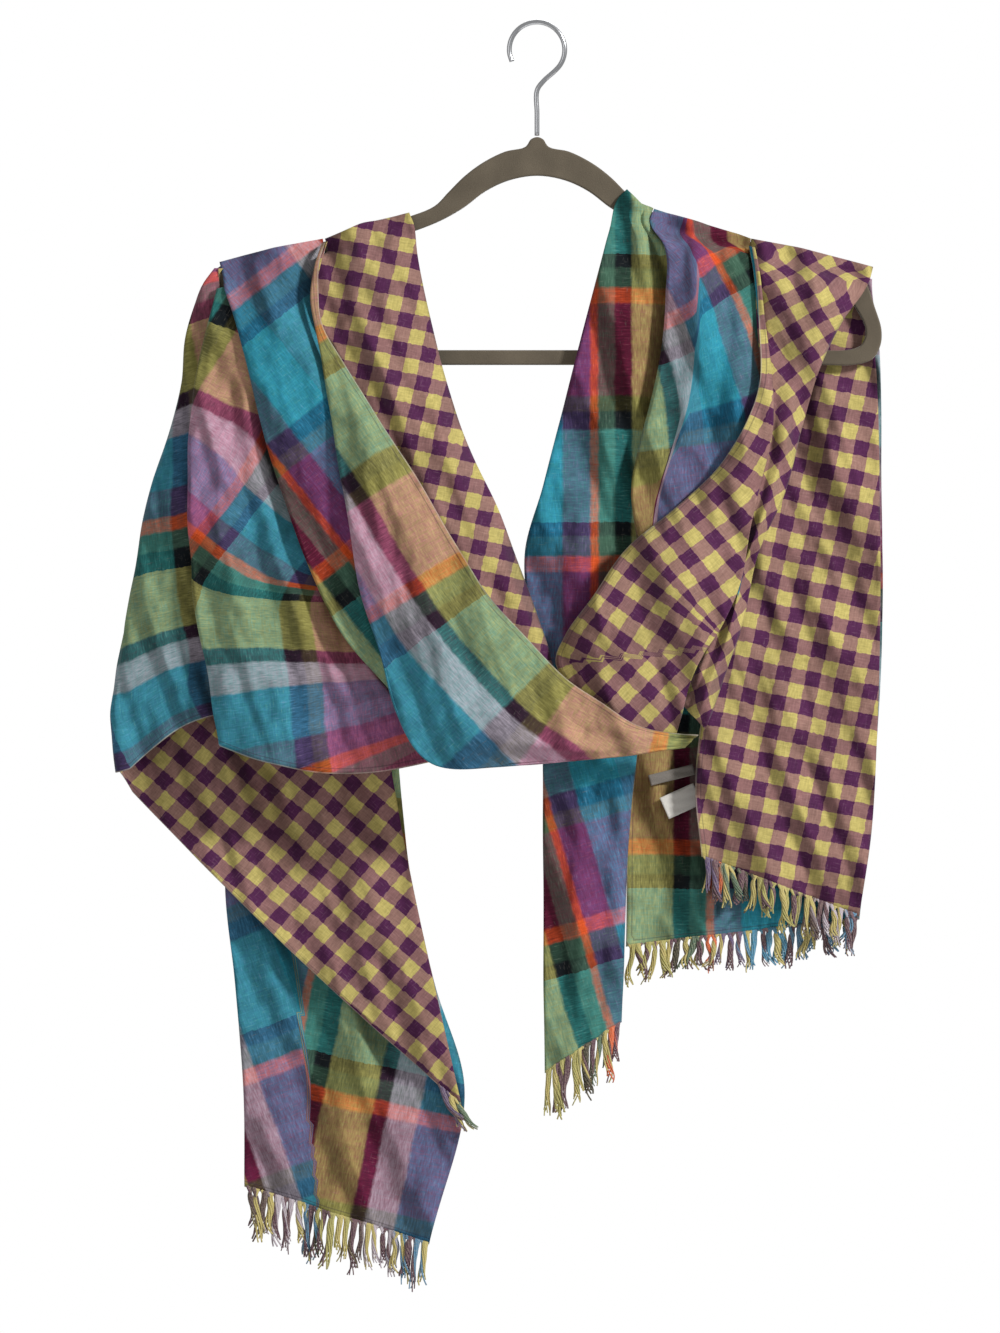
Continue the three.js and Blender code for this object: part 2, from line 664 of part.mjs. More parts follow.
// A label in front of a stretch: a rectangle turned in its own plane, sewn along its right end and bowed out.
function labelOn(name, cloth, { centre, wide, high, turnDeg, bow }, colour) {
  const turn = THREE.MathUtils.degToRad(turnDeg);
  const seat = CLOTH_T / 2 + LABEL_T / 2 + SEAT_GAP;
  const grid = Array.from({ length: 3 }, (_, i) =>
    Array.from({ length: 7 }, (_, j) => {
      const u = (j / 6 - 0.5) * wide;
      const v = (0.5 - i / 2) * high;
      const x = centre[0] + u * Math.cos(turn) - v * Math.sin(turn);
      const z = centre[1] + u * Math.sin(turn) + v * Math.cos(turn);
      return [x, depthAt(cloth, x, z) - seat - bow * (1 - j / 6), z];
    }),
  );
  const mesh = new THREE.Mesh(
    wall(grid, LABEL_T),
    new THREE.MeshStandardMaterial({ color: colour, roughness: 0.8, metalness: 0 }),
  );
  mesh.name = name;
  return mesh;
}

const grids = {
  left_chest_pleat: stretchGrid(LEFT_CHEST),
  left_front_pleat: stretchGrid(LEFT_FRONT),
  front_swag: stretchGrid(FRONT_SWAG),
  left_neck_stretch: stretchGrid(LEFT_NECK),
  left_outer_fall: leftOuterGrid,
  left_tail_under: stretchGrid(LEFT_UNDER),
  right_neck_strand: stretchGrid(RIGHT_NECK),
  right_shoulder_roll: stretchGrid(RIGHT_ROLL),
  right_cowl: stretchGrid(RIGHT_COWL),
  right_shoulder_fall: stretchGrid(RIGHT_FALL),
  right_neck_back: stretchGrid(RIGHT_NECK_BACK),
  right_tail: stretchGrid(RIGHT_TAIL),
  right_tail_under: stretchGrid(RIGHT_UNDER),
};
const GINGHAM_NODES = ["left_neck_stretch", "right_cowl", "right_shoulder_fall", "right_tail"];

const scarf = new THREE.Group();
scarf.add(hangerFrame());
scarf.add(hangerHook());
for (const [name, grid] of Object.entries(grids)) {
  scarf.add(clothMesh(name, grid, GINGHAM_NODES.includes(name) ? GINGHAM_COLOUR : PLAID_COLOUR));
}
const FRINGES = {
  fringe_left_tail: ["left_tail_under", { locks: 20, long: 40, seed: 3 }],
  fringe_left_corner: ["left_outer_fall", { locks: 3, long: 24, tFrom: 0.95, tTo: 1, seed: 31 }],
  fringe_centre_tail: ["right_neck_strand", { locks: 11, long: 40, tFrom: 0, tTo: 1, seed: 57 }],
  fringe_right_tail: ["right_tail", { locks: 19, long: 30, tFrom: 0, tTo: 1, seed: 79 }],
  fringe_right_under: ["right_tail_under", { locks: 20, long: 27, seed: 101 }],
};
for (const [name, [cloth, sizes]] of Object.entries(FRINGES)) scarf.add(fringe(name, grids[cloth], sizes));
const WOVEN_LABEL = { centre: [88, -488], wide: 30, high: 7, turnDeg: 14, bow: 0.4 };
const CARE_LABEL = { centre: [94, -505], wide: 24, high: 15, turnDeg: 24, bow: 3 };
scarf.add(labelOn("label_woven", grids.right_tail_under, WOVEN_LABEL, 0x9a948c));
scarf.add(labelOn("label_care", grids.right_tail_under, CARE_LABEL, 0xe9e6df));

export default scarf;
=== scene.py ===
import math

import bpy
import numpy as np
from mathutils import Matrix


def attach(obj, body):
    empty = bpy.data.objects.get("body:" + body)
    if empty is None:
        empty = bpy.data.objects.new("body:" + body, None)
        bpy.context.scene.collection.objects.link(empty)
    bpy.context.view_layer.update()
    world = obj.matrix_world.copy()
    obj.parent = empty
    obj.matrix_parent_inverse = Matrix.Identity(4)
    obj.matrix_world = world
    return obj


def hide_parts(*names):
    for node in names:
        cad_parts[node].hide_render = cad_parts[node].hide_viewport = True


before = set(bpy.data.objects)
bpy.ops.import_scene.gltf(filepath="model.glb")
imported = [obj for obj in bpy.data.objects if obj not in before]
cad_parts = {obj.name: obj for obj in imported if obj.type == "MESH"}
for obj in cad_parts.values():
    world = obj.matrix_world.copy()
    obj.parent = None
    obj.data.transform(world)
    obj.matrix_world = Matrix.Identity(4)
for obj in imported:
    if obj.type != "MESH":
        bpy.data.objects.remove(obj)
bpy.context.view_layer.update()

# Table sizes are in millimetres, as in the part's source. Blender objects are in metres.
MM = 0.001

# Cloth: thickness, and the spacing of a shell's rows and columns
CLOTH_T = 0.7
STEP_MM = 3.2
ACROSS_MM = 2.1
FEWEST_ACROSS, MOST_ACROSS = 22, 64

# A lip is the rounded fold behind a free edge. Its depth is a share of its size.
LIP_DEPTH = 0.6
LIP_START = 4
LIP_ROWS = 3
LIP_RUN_POINTS = 5
LIP_ARC_POINTS = 9
LIP_POINTS = LIP_RUN_POINTS + LIP_ARC_POINTS - 2
SOURCE_LIP = 2

# The hanger's arm: half its outline from the neck outwards, x and z; the cloth's arch over it, y and height
ARM_SIDE_Y = 4.0
ARM_CLEAR = 1.15
ARM_END_X = 203

OUTER_HALF = [
    [0, -72.5], [4.5, -74.2], [8, -79], [21, -82], [36, -89.5], [48, -98.5], [58, -108.5],
    [67, -117.5], [84, -124.5], [110, -133], [138, -140.5], [171, -146.5], [203, -155],
    [211, -160.5], [216.5, -172], [220, -183], [224.5, -198], [223.8, -209], [218.5, -218], [205, -222],
]
ARCH = [
    [ARM_SIDE_Y, -9], [ARM_SIDE_Y, -1.4], [2.7, 0.75], [0, ARM_CLEAR], [-2.7, 0.75],
    [-ARM_SIDE_Y, -1.4], [-ARM_SIDE_Y - 0.6, -6],
]

# A stretch runs down from row to row, and across from edge a to edge b.
# rows: a.x, a.z, a.y, b.x, b.z, b.y, belly, sag; top: more of them above; lift: height of one more above
# folds: place across at the top and at the end, width, depth, start and end as places down
# over: x of edge a and of edge b on the arm, puff; lipA, lipB: size of the lip behind an edge
# count, steps: the columns of the part's source, and its rows to each row here
LEFT_CHEST = dict(count=9, over=[-206, -139, 0], folds=[
    [0.5, 0.55, 0.13, 4.5, 0.4, 0.95],
    [0.78, 0.8, 0.09, -4.5, 0.45, 1],
], rows=[
    [-203, -172, -12.5, -138, -160, -9, 2],
    [-197, -190, -17, -132, -176, -12, 4],
    [-190, -215, -21, -124, -197, -14, 5],
    [-179, -258, -26, -110, -238, -20, 6],
    [-165, -306, -31, -98, -282, -25, 6],
    [-149, -350, -36, -86, -320, -30, 5],
    [-126, -396, -40, -70, -356, -34, 4],
    [-94, -434, -42, -50, -392, -36, 4],
    [-80, -454, -41, -42, -416, -36, 2],
])
LEFT_FRONT = dict(count=9, lipA=9, folds=[
    [0.38, 0.36, 0.09, 5, 0.25, 1],
    [0.6, 0.6, 0.1, -5.5, 0.3, 1],
    [0.8, 0.78, 0.08, 3, 0.45, 1],
], rows=[
    [-207.5, -172, -8.6, -189, -168, -7.6, 0.2],
    [-215, -202, -14.5, -184, -196, -11, 1],
    [-223, -240, -19, -174, -236, -14, 3],
    [-224, -290, -23, -160, -292, -18, 6],
    [-224, -345, -26, -144, -350, -22, 8],
    [-218, -400, -29, -108, -420, -26, 8],
    [-212, -440, -31, -76, -456, -29, 8, 6],
    [-208, -468, -31, -60, -477, -30, 8, 14],
])
FRONT_SWAG = dict(count=8, lipA=5, folds=[
    [0.45, 0.5, 0.09, 3.4, 0.3, 0.9],
    [0.7, 0.72, 0.08, -2.6, 0.35, 0.9],
], top=[
    [-139.6, -143.5, -10.4, -137.8, -142.5, -10.8, 0.1],
    [-143.8, -158, -20.2, -141.2, -157, -20.8, 0.2],
], rows=[
    [-146.5, -178, -24.2, -141.5, -174, -24.8, 0.3],
    [-142.5, -202, -27, -139, -196, -28, 0.5],
    [-138, -224, -29, -125, -221, -32, 1],
    [-132, -258, -35, -104, -254, -38, 3],
    [-124, -302, -44.2, -79, -294, -45.4, 5],
    [-115, -352, -49.6, -54, -336, -50.2, 6],
    [-103, -404, -52, -32, -370, -52, 8],
    [-91, -448, -56, -8, -398, -53, 9],
    [-68, -480, -57, 18, -424, -52, 9],
    [-28, -482, -55, 42, -441, -49, 7],
    [20, -479, -52, 64, -455, -45, 4],
    [62, -474, -45, 84, -460, -40, 1.5],
    [95, -469.5, -38, 104, -461.5, -35, 0.2],
])
LEFT_NECK = dict(count=9, steps=1, over=[-137.5, -82.5, 2.5], folds=[
    [0.35, 0.4, 0.12, 3.5, 0.4, 0.95],
    [0.6, 0.62, 0.12, -3, 0.45, 0.95],
], rows=[
    [-142, -153, -13, -78, -148, -8, 2],
    [-145, -172, -18, -74, -168, -12, 3],
    [-142, -194, -21, -68, -196, -13, 4],
    [-131, -212, -23.5, -62, -222, -14, 6],
    [-114, -252, -30, -49, -262, -17, 6],
    [-98, -292, -35, -32, -303, -21, 6],
    [-78, -334, -40, -14, -346, -25, 6],
    [-56, -374, -43, 2, -390, -29, 5],
    [-38, -400, -43, 8, -411, -31, 4],
    [-22, -418, -41, 9, -424, -33, 2],
])
LEFT_UNDER = dict(count=11, lift=4, folds=[
    [0.34, 0.34, 0.12, -5, 0.5, 1],
    [0.52, 0.5, 0.12, 4, 0.5, 1],
], rows=[
    [-137.5, -151, 5, -83, -135.6, 5, 0],
    [-146, -210, 14, -95, -200, 13, -1],
    [-165, -300, 21, -100, -300, 20, -2],
    [-190, -450, 27, -92, -450, 25, -2],
    [-204, -550, 31, -84, -545, 26, -2],
    [-197, -628, 30, -66, -628, 22, -2],
    [-192, -690, 27, -47, -692, 18, -2],
    [-191, -757, 24, -70, -794, 15, -2],
])
RIGHT_NECK = dict(count=8, steps=1, over=[57.5, 75.1, 0], folds=[
    [0.45, 0.4, 0.11, 3.6, 0.15, 1],
    [0.72, 0.72, 0.1, -3, 0.2, 1],
], rows=[
    [47, -134, -8, 86, -146, -7.2, 1],
    [40, -160, -10, 106, -174, -10, 2],
    [29, -202, -11, 108, -214, -12, 2],
    [15.5, -255, -12, 100, -268, -14, 2],
    [4, -300, -14, 84, -314, -16, 2],
    [-8, -345, -16, 64, -360, -18, 3],
    [-6, -376, -17, 50, -392, -19, 3],
    [2, -412, -18, 56, -424, -19, 3],
    [4, -450, -18, 66, -456, -18, 4],
    [4, -482, -18, 64, -480, -16, 5],
    [4, -545, -16, 59, -532, -13, 5],
    [4, -612, -14, 57, -590, -11, 4],
    [5, -681, -12, 55, -648, -10, 3],
])
RIGHT_ROLL = dict(count=8, over=[75.6, 138.6, 1.5], folds=[
    [0.3, 0.35, 0.11, 5, 0.35, 0.9],
    [0.58, 0.6, 0.11, -6, 0.35, 0.9],
], rows=[
    [82, -144, -17, 138, -152, -9, 5],
    [83, -178, -20.5, 147, -184, -12, 9],
    [80, -214, -22, 150, -220, -14, 11],
    [73, -248, -23, 148, -256, -18, 10],
    [66, -276, -24, 136, -288, -22, 7],
    [61, -305, -25.5, 120, -318, -26, 5],
    [64, -334, -26.5, 106, -346, -28, 2],
])
RIGHT_COWL = dict(count=8, steps=1, lipB=6, folds=[
    [0.45, 0.38, 0.12, 2.5, 0.35, 0.75],
    [0.68, 0.6, 0.1, -2.5, 0.35, 0.75],
], top=[
    [139.4, -145, -9.4, 141.2, -145.6, -9.6, 0.1],
    [141.2, -158, -17, 143.4, -158.5, -17.2, 0.2],
], rows=[
    [143.5, -196, -24, 147.5, -196, -24.2, 0.2],
    [143.5, -235, -30, 152, -235, -29.5, 1],
    [136, -258, -34, 152, -262, -33, 2],
    [118, -288, -37, 144, -298, -37, 5],
    [88, -316, -38, 138, -330, -40, 8],
    [60, -340, -38, 131, -359, -42, 10],
    [37, -370, -38, 120, -390, -42, 10],
    [18, -398, -38, 107, -410, -39, 8],
    [12, -416, -38, 100, -428, -36, 4],
    [24, -434, -39, 96, -445, -34, 3],
    [48, -457, -38, 91, -462, -31, 1],
])
RIGHT_FALL = dict(count=8, over=[139, 218, 0], folds=[
    [0.3, 0.3, 0.12, -2.5, 0.4, 1],
    [0.62, 0.62, 0.12, 3, 0.4, 1],
], rows=[
    [141, -158, -13, 213, -172, -8, 3],
    [142, -190, -18.5, 197, -195, -13, 5],
    [145, -225, -21, 181, -229, -16, 6],
    [146, -258, -22, 172, -262, -19, 6],
    [141, -300, -23, 159, -306, -21, 6],
    [127, -345, -24, 140, -351, -22, 6],
    [116, -385, -24, 131, -394, -23, 6],
    [103, -420, -24, 118, -432, -23, 6],
    [92, -440, -24, 109, -458, -23, 5],
])
RIGHT_NECK_BACK = dict(count=7, lift=4, rows=[
    [54.6, -120, 5.2, 135.5, -150.2, 5.2, 0, 7.5],
    [66, -150, 8, 134, -172, 8, -0.5],
    [86, -200, 10, 146, -212, 10, -0.5],
    [108, -250, 11, 170, -258, 10.5, -0.5],
])
RIGHT_TAIL = dict(count=12, folds=[
    [0.3, 0.3, 0.09, -3, 0.35, 1],
    [0.5, 0.5, 0.1, 3.5, 0.4, 1],
    [0.75, 0.75, 0.1, -2.5, 0.4, 1],
], rows=[
    [148, -172, 5, 216, -178, 5.2, 0],
    [141, -230, 5, 221, -228, 6, -0.5],
    [130, -300, 4, 223, -298, 6.5, -1],
    [118, -380, 3, 223.5, -380, 6, -1],
    [107, -450, 2, 221.5, -458, 5, -1],
    [103, -500, 2, 217.5, -526, 4, -1],
    [107, -541, 1, 209.5, -580, 3, -1],
])
RIGHT_UNDER = dict(count=11, lift=4, folds=[
    [0.22, 0.2, 0.12, -4, 0.3, 1],
    [0.45, 0.42, 0.12, 3, 0.4, 1],
    [0.7, 0.7, 0.12, -4, 0.3, 1],
], rows=[
    [138, -150, 5, 218, -169.2, 5.2, 0],
    [134, -186, 15, 222.5, -202, 10, -2],
    [112, -276, 17.5, 224.5, -292, 11.5, -2],
    [86, -376, 17.5, 225, -390, 11.5, -2],
    [62, -480, 17, 220.5, -480, 10.5, -2],
    [58, -600, 15, 210, -582, 9.5, -2],
])
# The outer fall runs across from its front edge, round the silhouette, to its back edge.
# Columns: front x, z, y; silhouette x, z; back x, z, y; belly of front, back; sag of front, back
# The first row is the scene's own: it closes the fall over the corner of the arm.
LEFT_OUTER = [
    [-207, -159, -4.7, -209.4, -158.6, -139.5, -147.5, 6.4, 0, 0, 0, -1.4],
    [-206.4, -168, -4.8, -216.4, -168, -141, -154, 6.3, 0, 0, 0, -1.4],
    [-204, -184, -5, -222.8, -184, -140, -166, 6.8, 0, 0, 0, 0],
    [-203, -202, -5.4, -228, -202, -138, -190, 7, 0, 1, 0, 0],
    [-202, -228, -7, -230.8, -228, -134, -224, 8.5, 1, 2, 0, 0],
    [-200, -290, -10, -245.5, -286, -124, -290, 10, 2, 3, 0, 0],
    [-198, -366, -13, -263.5, -363, -108, -400, 12, 4, 4, 0, 0],
    [-197, -414, -14, -273.5, -428, -87, -530, 13, 4, 5, -4, 2],
    [-199, -447, -14, -272.5, -486, -49, -703, 12, 4, 5, -8, 6],
]
OUTER_ROUND = 9
# Columns in the part's source: those of the front, of the round turn and of the back
OUTER_FRONT, OUTER_TURN, OUTER_BACK = 5, 4, 9
OUTER_SILHOUETTE = (OUTER_FRONT + OUTER_TURN / 2) / (OUTER_FRONT + OUTER_TURN + OUTER_BACK)
# Columns here, those of the turn to each one there, and the rows that the source doesn't halve
OUTER_FRONT_FINE, OUTER_TURN_FINE, OUTER_BACK_FINE = 20, 4, 72
OUTER_SINGLE = 3
OUTER_FOLDS = [
    [0.16, 0.16, 0.06, 2, 0.45, 1],
    [0.62, 0.6, 0.07, 3, 0.45, 1],
    [0.82, 0.8, 0.06, -3, 0.5, 1],
]

FULL_TURN = 2 * math.pi

# Waves of the rumpled cloth: how many are added up, their lengths, and the height that their sum has
WAVES = 7
SHORTEST_WAVE, LONGEST_WAVE = 22, 60
WAVES_HEIGHT = 2.4


def smooth(t):
    """An even rise from 0 to 1."""
    c = np.clip(t, 0, 1)
    return c * c * (3 - 2 * c)


def unit(v):
    v = np.asarray(v, float)
    return v / np.maximum(np.linalg.norm(v, axis=-1, keepdims=True), 1e-9)


def run_length(points):
    """Length along a line of points, from its first point to each one."""
    return np.concatenate([[0], np.cumsum(np.linalg.norm(np.diff(points, axis=0), axis=1))])


def arm_top(x):
    """Top of the hanger's arm at x, and the slope's outward direction there."""
    far = abs(x)
    k = next(i for i, (px, _) in enumerate(OUTER_HALF) if i > 0 and px >= min(far, ARM_END_X))
    (x0, z0), (x1, z1) = OUTER_HALF[k - 1], OUTER_HALF[k]
    long = math.hypot(x1 - x0, z1 - z0)
    z = z0 + (far - x0) / (x1 - x0) * (z1 - z0)
    return z, math.copysign(1, x) * (z0 - z1) / long, (x1 - x0) / long


def over_arm(start, end, puff, count):
    """Rows of points that lead a stretch up the back of the arm, over it and down its front."""
    rows = []
    for y, high in ARCH:
        row = []
        for t in np.linspace(0, 1, count):
            x = start + (end - start) * t
            z, nx, nz = arm_top(x)
            up = high + (puff * math.sin(math.pi * t) if high > 0 else 0)
            row.append([x + nx * up, y, z + nz * up])
        rows.append(row)
    return rows


def lip(edge, inward, size, front_y):
    """A rounded fold behind an edge, from its inner end to the front run of the cloth."""
    r = size * LIP_DEPTH / 2
    flat = np.linspace(size, r, LIP_RUN_POINTS)
    turn = np.linspace(math.pi, 0, LIP_ARC_POINTS)
    inset = np.concatenate([flat[:-1], r - r * np.sin(turn[:-1])])
    depth = np.concatenate([np.full(LIP_RUN_POINTS - 1, 2 * r), r - r * np.cos(turn[:-1])])
    points = np.asarray(edge) + np.asarray(inward) * inset[:, None]
    points[:, 1] = front_y + depth
    return points


def section(row, i, count, lip_a, lip_b):
    """The points of row i of a stretch from edge a to edge b, with its lips."""
    ax, az, ay, bx, bz, by, belly = row[:7]
    sag = row[7] if len(row) > 7 else 0
    a = np.array([ax, ay, az], float)
    b = np.array([bx, by, bz], float)
    along = unit(b - a)
    grown = float(smooth(i / LIP_ROWS))
    size_a, size_b = [LIP_START + (size - LIP_START) * grown if size else 0 for size in (lip_a, lip_b)]
    length = np.linalg.norm(b - a)
    t = np.linspace(size_a * LIP_DEPTH / 2 / length, 1 - size_b * LIP_DEPTH / 2 / length, count)
    arc = np.sin(np.pi * t)
    main = a + (b - a) * t[:, None]
    main[:, 1] -= belly * np.maximum(arc, 0) ** 0.8
    main[:, 2] -= sag * arc
    parts = [main]
    if lip_a:
        parts.insert(0, lip(a, along, size_a, main[0, 1]))
    if lip_b:
        parts.append(lip(b, -along, size_b, main[-1, 1])[::-1])
    return np.concatenate(parts)


def refine(rows, step_mm):
    """Rows added on smooth curves through rows of points. Returns the grid and each row's place in rows."""
    rows = np.array(rows, float)
    h = np.maximum(np.linalg.norm(rows[1:] - rows[:-1], axis=2).mean(axis=1), 1e-3)
    slope = (rows[1:] - rows[:-1]) / h[:, None, None]
    tangent = np.empty_like(rows)
    tangent[0] = slope[0]
    tangent[-1] = slope[-1]
    for i in range(1, len(rows) - 1):
        tangent[i] = (slope[i - 1] * h[i] + slope[i] * h[i - 1]) / (h[i - 1] + h[i])
    made = [rows[0]]
    place = [0.0]
    for i in range(len(rows) - 1):
        n = max(3, math.ceil(h[i] / step_mm))
        for k in range(1, n + 1):
            u = k / n
            made.append(
                rows[i] * (1 + 2 * u) * (1 - u) ** 2
                + tangent[i] * u * (1 - u) ** 2 * h[i]
                + rows[i + 1] * u * u * (3 - 2 * u)
                + tangent[i + 1] * u * u * (u - 1) * h[i]
            )
            place.append(i + u)
    return np.array(made), np.array(place)


def crease(grid, s, t, folds):
    """Ridges and troughs down a stretch, with s each row's place down and t each column's place across."""
    push = np.zeros(grid.shape[:2])
    for t_top, t_end, width, depth, s_from, s_to in folds:
        place = (t[None, :] - (t_top + (t_end - t_top) * s[:, None])) / width
        fade = smooth((s - s_from) / 0.15) * (1 if s_to >= 1 else smooth((s_to - s) / 0.15))
        push += depth * np.exp(-place * place) * fade[:, None]
    grid = grid.copy()
    grid[:, :, 1] -= push
    return grid


def normals(grid):
    down = np.gradient(grid, axis=0)
    right = np.gradient(grid, axis=1)
    return unit(np.cross(down, right))


def rumple(grid, s, seed, amount, free=0.12):
    """Shallow uneven waves down the fall of the cloth, none where it lies on the arm, at s below free."""
    rng = np.random.default_rng(seed)
    along = run_length(grid[:, grid.shape[1] // 2])
    step = np.linalg.norm(np.diff(grid, axis=1), axis=2).mean(axis=0)
    across = np.concatenate([[0], np.cumsum(step)])
    push = np.zeros(grid.shape[:2])
    for _ in range(WAVES):
        wave = rng.uniform(SHORTEST_WAVE, LONGEST_WAVE)
        lean = rng.uniform(-0.45, 0.45)
        phase = rng.uniform(0, FULL_TURN)
        drift = rng.uniform(90, 220)
        offset = rng.uniform(0, FULL_TURN)
        bend = 0.9 * np.sin(along / drift * 2 * math.pi + offset)[:, None]
        turned = FULL_TURN * (across[None, :] + lean * along[:, None]) / wave
        push += np.sin(turned + phase + bend) * wave / LONGEST_WAVE
    push *= amount / WAVES_HEIGHT
    push *= smooth((s - free) / 0.2)[:, None]
    return grid + normals(grid) * push[:, :, None]


def smooth_mesh(name, verts, faces, materials):
    """A smooth-shaded mesh from vertices in millimetres."""
    mesh = bpy.data.meshes.new(name)
    mesh.from_pydata((verts * MM).tolist(), [], faces)
    for material in materials:
        mesh.materials.append(material)
    mesh.polygons.foreach_set("use_smooth", np.ones(len(faces), bool))
    return mesh


def keep_place(mesh, place):
    """Stores each vertex's place in the flat cloth, which the cloth's materials read."""
    cloth = mesh.attributes.new("cloth", "FLOAT_VECTOR", "POINT")
    cloth.data.foreach_set("vector", (place * MM).astype(np.float32).ravel())
    mesh.update()


def new_object(name, data, place=(0, 0, 0), turned=(0, 0, 0)):
    made_object = bpy.data.objects.new(name, data)
    made_object.location = place
    made_object.rotation_euler = turned
    bpy.context.scene.collection.objects.link(made_object)
    return made_object


def add_piece(name, data, node, turned=(0, 0, 0)):
    """An object that takes the place of one of the part's nodes."""
    piece = new_object(name, data, turned=turned)
    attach(piece, "root")
    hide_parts(node)
    return piece


def shell(name, grid, front_place, back_place, materials, thick=CLOTH_T):
    """The mesh of a closed thin wall around a grid, with one material on each face."""
    n = normals(grid)
    ni, nj = grid.shape[:2]
    sides = [grid + n * thick / 2, grid - n * thick / 2]
    verts = np.concatenate([side.reshape(-1, 3) for side in sides])
    at = np.arange(2 * ni * nj).reshape(2, ni, nj)
    a, b = at[:, :-1, :-1], at[:, 1:, :-1]
    c, d = at[:, 1:, 1:], at[:, :-1, 1:]
    front = np.stack([a[0], b[0], c[0], d[0]], 2).reshape(-1, 4)
    back = np.stack([a[1], d[1], c[1], b[1]], 2).reshape(-1, 4)

    def rim(edge):
        return np.stack([edge[0, :-1], edge[1, :-1], edge[1, 1:], edge[0, 1:]], 1)

    faces = np.concatenate([
        front, back, rim(at[:, :, 0]), rim(at[:, :, -1])[:, ::-1], rim(at[:, 0])[:, ::-1], rim(at[:, -1]),
    ])
    mesh = smooth_mesh(name, verts, faces.tolist(), materials)
    which = np.zeros(len(faces), np.int32)
    which[len(front):len(front) + len(back)] = 1
    mesh.polygons.foreach_set("material_index", which)
    keep_place(mesh, np.concatenate([front_place.reshape(-1, 3), back_place.reshape(-1, 3)]))
    return mesh


NO_HEM = 400.0


def hem_distance(grid, hems):
    """Distance from each point to the nearest hemmed edge."""
    across = np.linalg.norm(np.diff(grid, axis=1), axis=2)
    along = np.linalg.norm(np.diff(grid, axis=0), axis=2)
    far = np.full(grid.shape[:2], NO_HEM)
    if "a" in hems:
        far = np.minimum(far, np.pad(np.cumsum(across, axis=1), ((0, 0), (1, 0))))
    if "b" in hems:
        far = np.minimum(far, np.pad(np.cumsum(across[:, ::-1], axis=1)[:, ::-1], ((0, 0), (0, 1))))
    if "end" in hems:
        far = np.minimum(far, np.pad(np.cumsum(along[::-1], axis=0)[::-1], ((0, 1), (0, 0))))
    return far


# Columns each side of the anchor that give the direction across, and the width over which a tuck goes in
ANCHOR_REACH = 6
TUCK_WIDE = 4


def edge_place(grid, edge):
    """Each point's distance from an edge, and the length of edge down to the point nearest to it."""
    start = edge[:-1]
    run = edge[1:] - start
    long = np.linalg.norm(run, axis=1)
    before = run_length(edge)[:-1]
    points = grid.reshape(-1, 1, 3)
    share = ((points - start) * run).sum(axis=2) / np.maximum(long * long, 1e-9)
    share[:, 1:-1] = np.clip(share[:, 1:-1], 0, 1)
    share[:, 0] = np.minimum(share[:, 0], 1)
    share[:, -1] = np.maximum(share[:, -1], 0)
    far = np.linalg.norm(points - start - run * share[:, :, None], axis=2)
    near = np.argmin(far, axis=1)
    each = np.arange(len(near))
    down = before[near] + share[each, near] * long[near]
    return far[each, near].reshape(grid.shape[:2]), down.reshape(grid.shape[:2])


def lay(grid, t, how, hems):
    """Where each point lies in the flat cloth: u and v along its threads, and its distance to a hem.

    p, across, and q, down, are taken from the front view (plane), an edge (from_edge) or the column at
    anchor. lean: distance down, the bands' lean there. Past the line split, beyond says how it lies.
    """
    turn = math.radians(how.get("turn", 0))
    if "plane" in how:
        p, q = grid[:, :, 0], -grid[:, :, 2]
    elif "from_edge" in how:
        p, q = edge_place(grid, grid[:, -1 if how["from_edge"] == "b" else 0])
    else:
        j0 = int(np.argmin(np.abs(t - how["anchor"])))
        step = np.linalg.norm(np.diff(grid, axis=1), axis=2)
        run = np.pad(np.cumsum(step, axis=1), ((0, 0), (1, 0)))
        far = run - run[:, j0:j0 + 1]
        edge = grid[:, j0]
        down = run_length(edge)
        tangent = unit(np.gradient(edge, axis=0))
        lo, hi = max(j0 - ANCHOR_REACH, 0), min(j0 + ANCHOR_REACH, grid.shape[1] - 1)
        side = unit(grid[:, hi] - grid[:, lo])
        cos = (side * tangent).sum(axis=1)
        sin = np.sqrt(np.maximum(1 - cos * cos, 0))
        p = far * sin[:, None]
        q = down[:, None] + far * cos[:, None]
    if "tuck" in how:
        place, hidden = how["tuck"]
        p = p - hidden * smooth((place - p) / TUCK_WIDE)
    if "lean" in how:
        at = np.array([row[0] for row in how["lean"]], float)
        slope = np.array([row[1] for row in how["lean"]])
        rise = np.concatenate([[0], np.cumsum(np.diff(at) * (slope[1:] + slope[:-1]) / 2)])
        p, q = p + np.interp(q, at, rise), q - np.interp(q, at, slope) * p
    u = p * math.cos(turn) + q * math.sin(turn)
    v = q * math.cos(turn) - p * math.sin(turn)
    u = u * how.get("u_sign", 1) + how.get("u0", 0)
    v = v * how.get("v_sign", 1) + how.get("v0", 0)
    place = np.stack([u, v, hem_distance(grid, hems)], axis=2)
    if "beyond" in how:
        along_x, along_z, least = how["split"]
        other = grid[:, :, 0] * along_x + grid[:, :, 2] * along_z > least
        place[other] = lay(grid, t, how["beyond"], hems)[other]
    return place


LIFT_BACK = 0.3


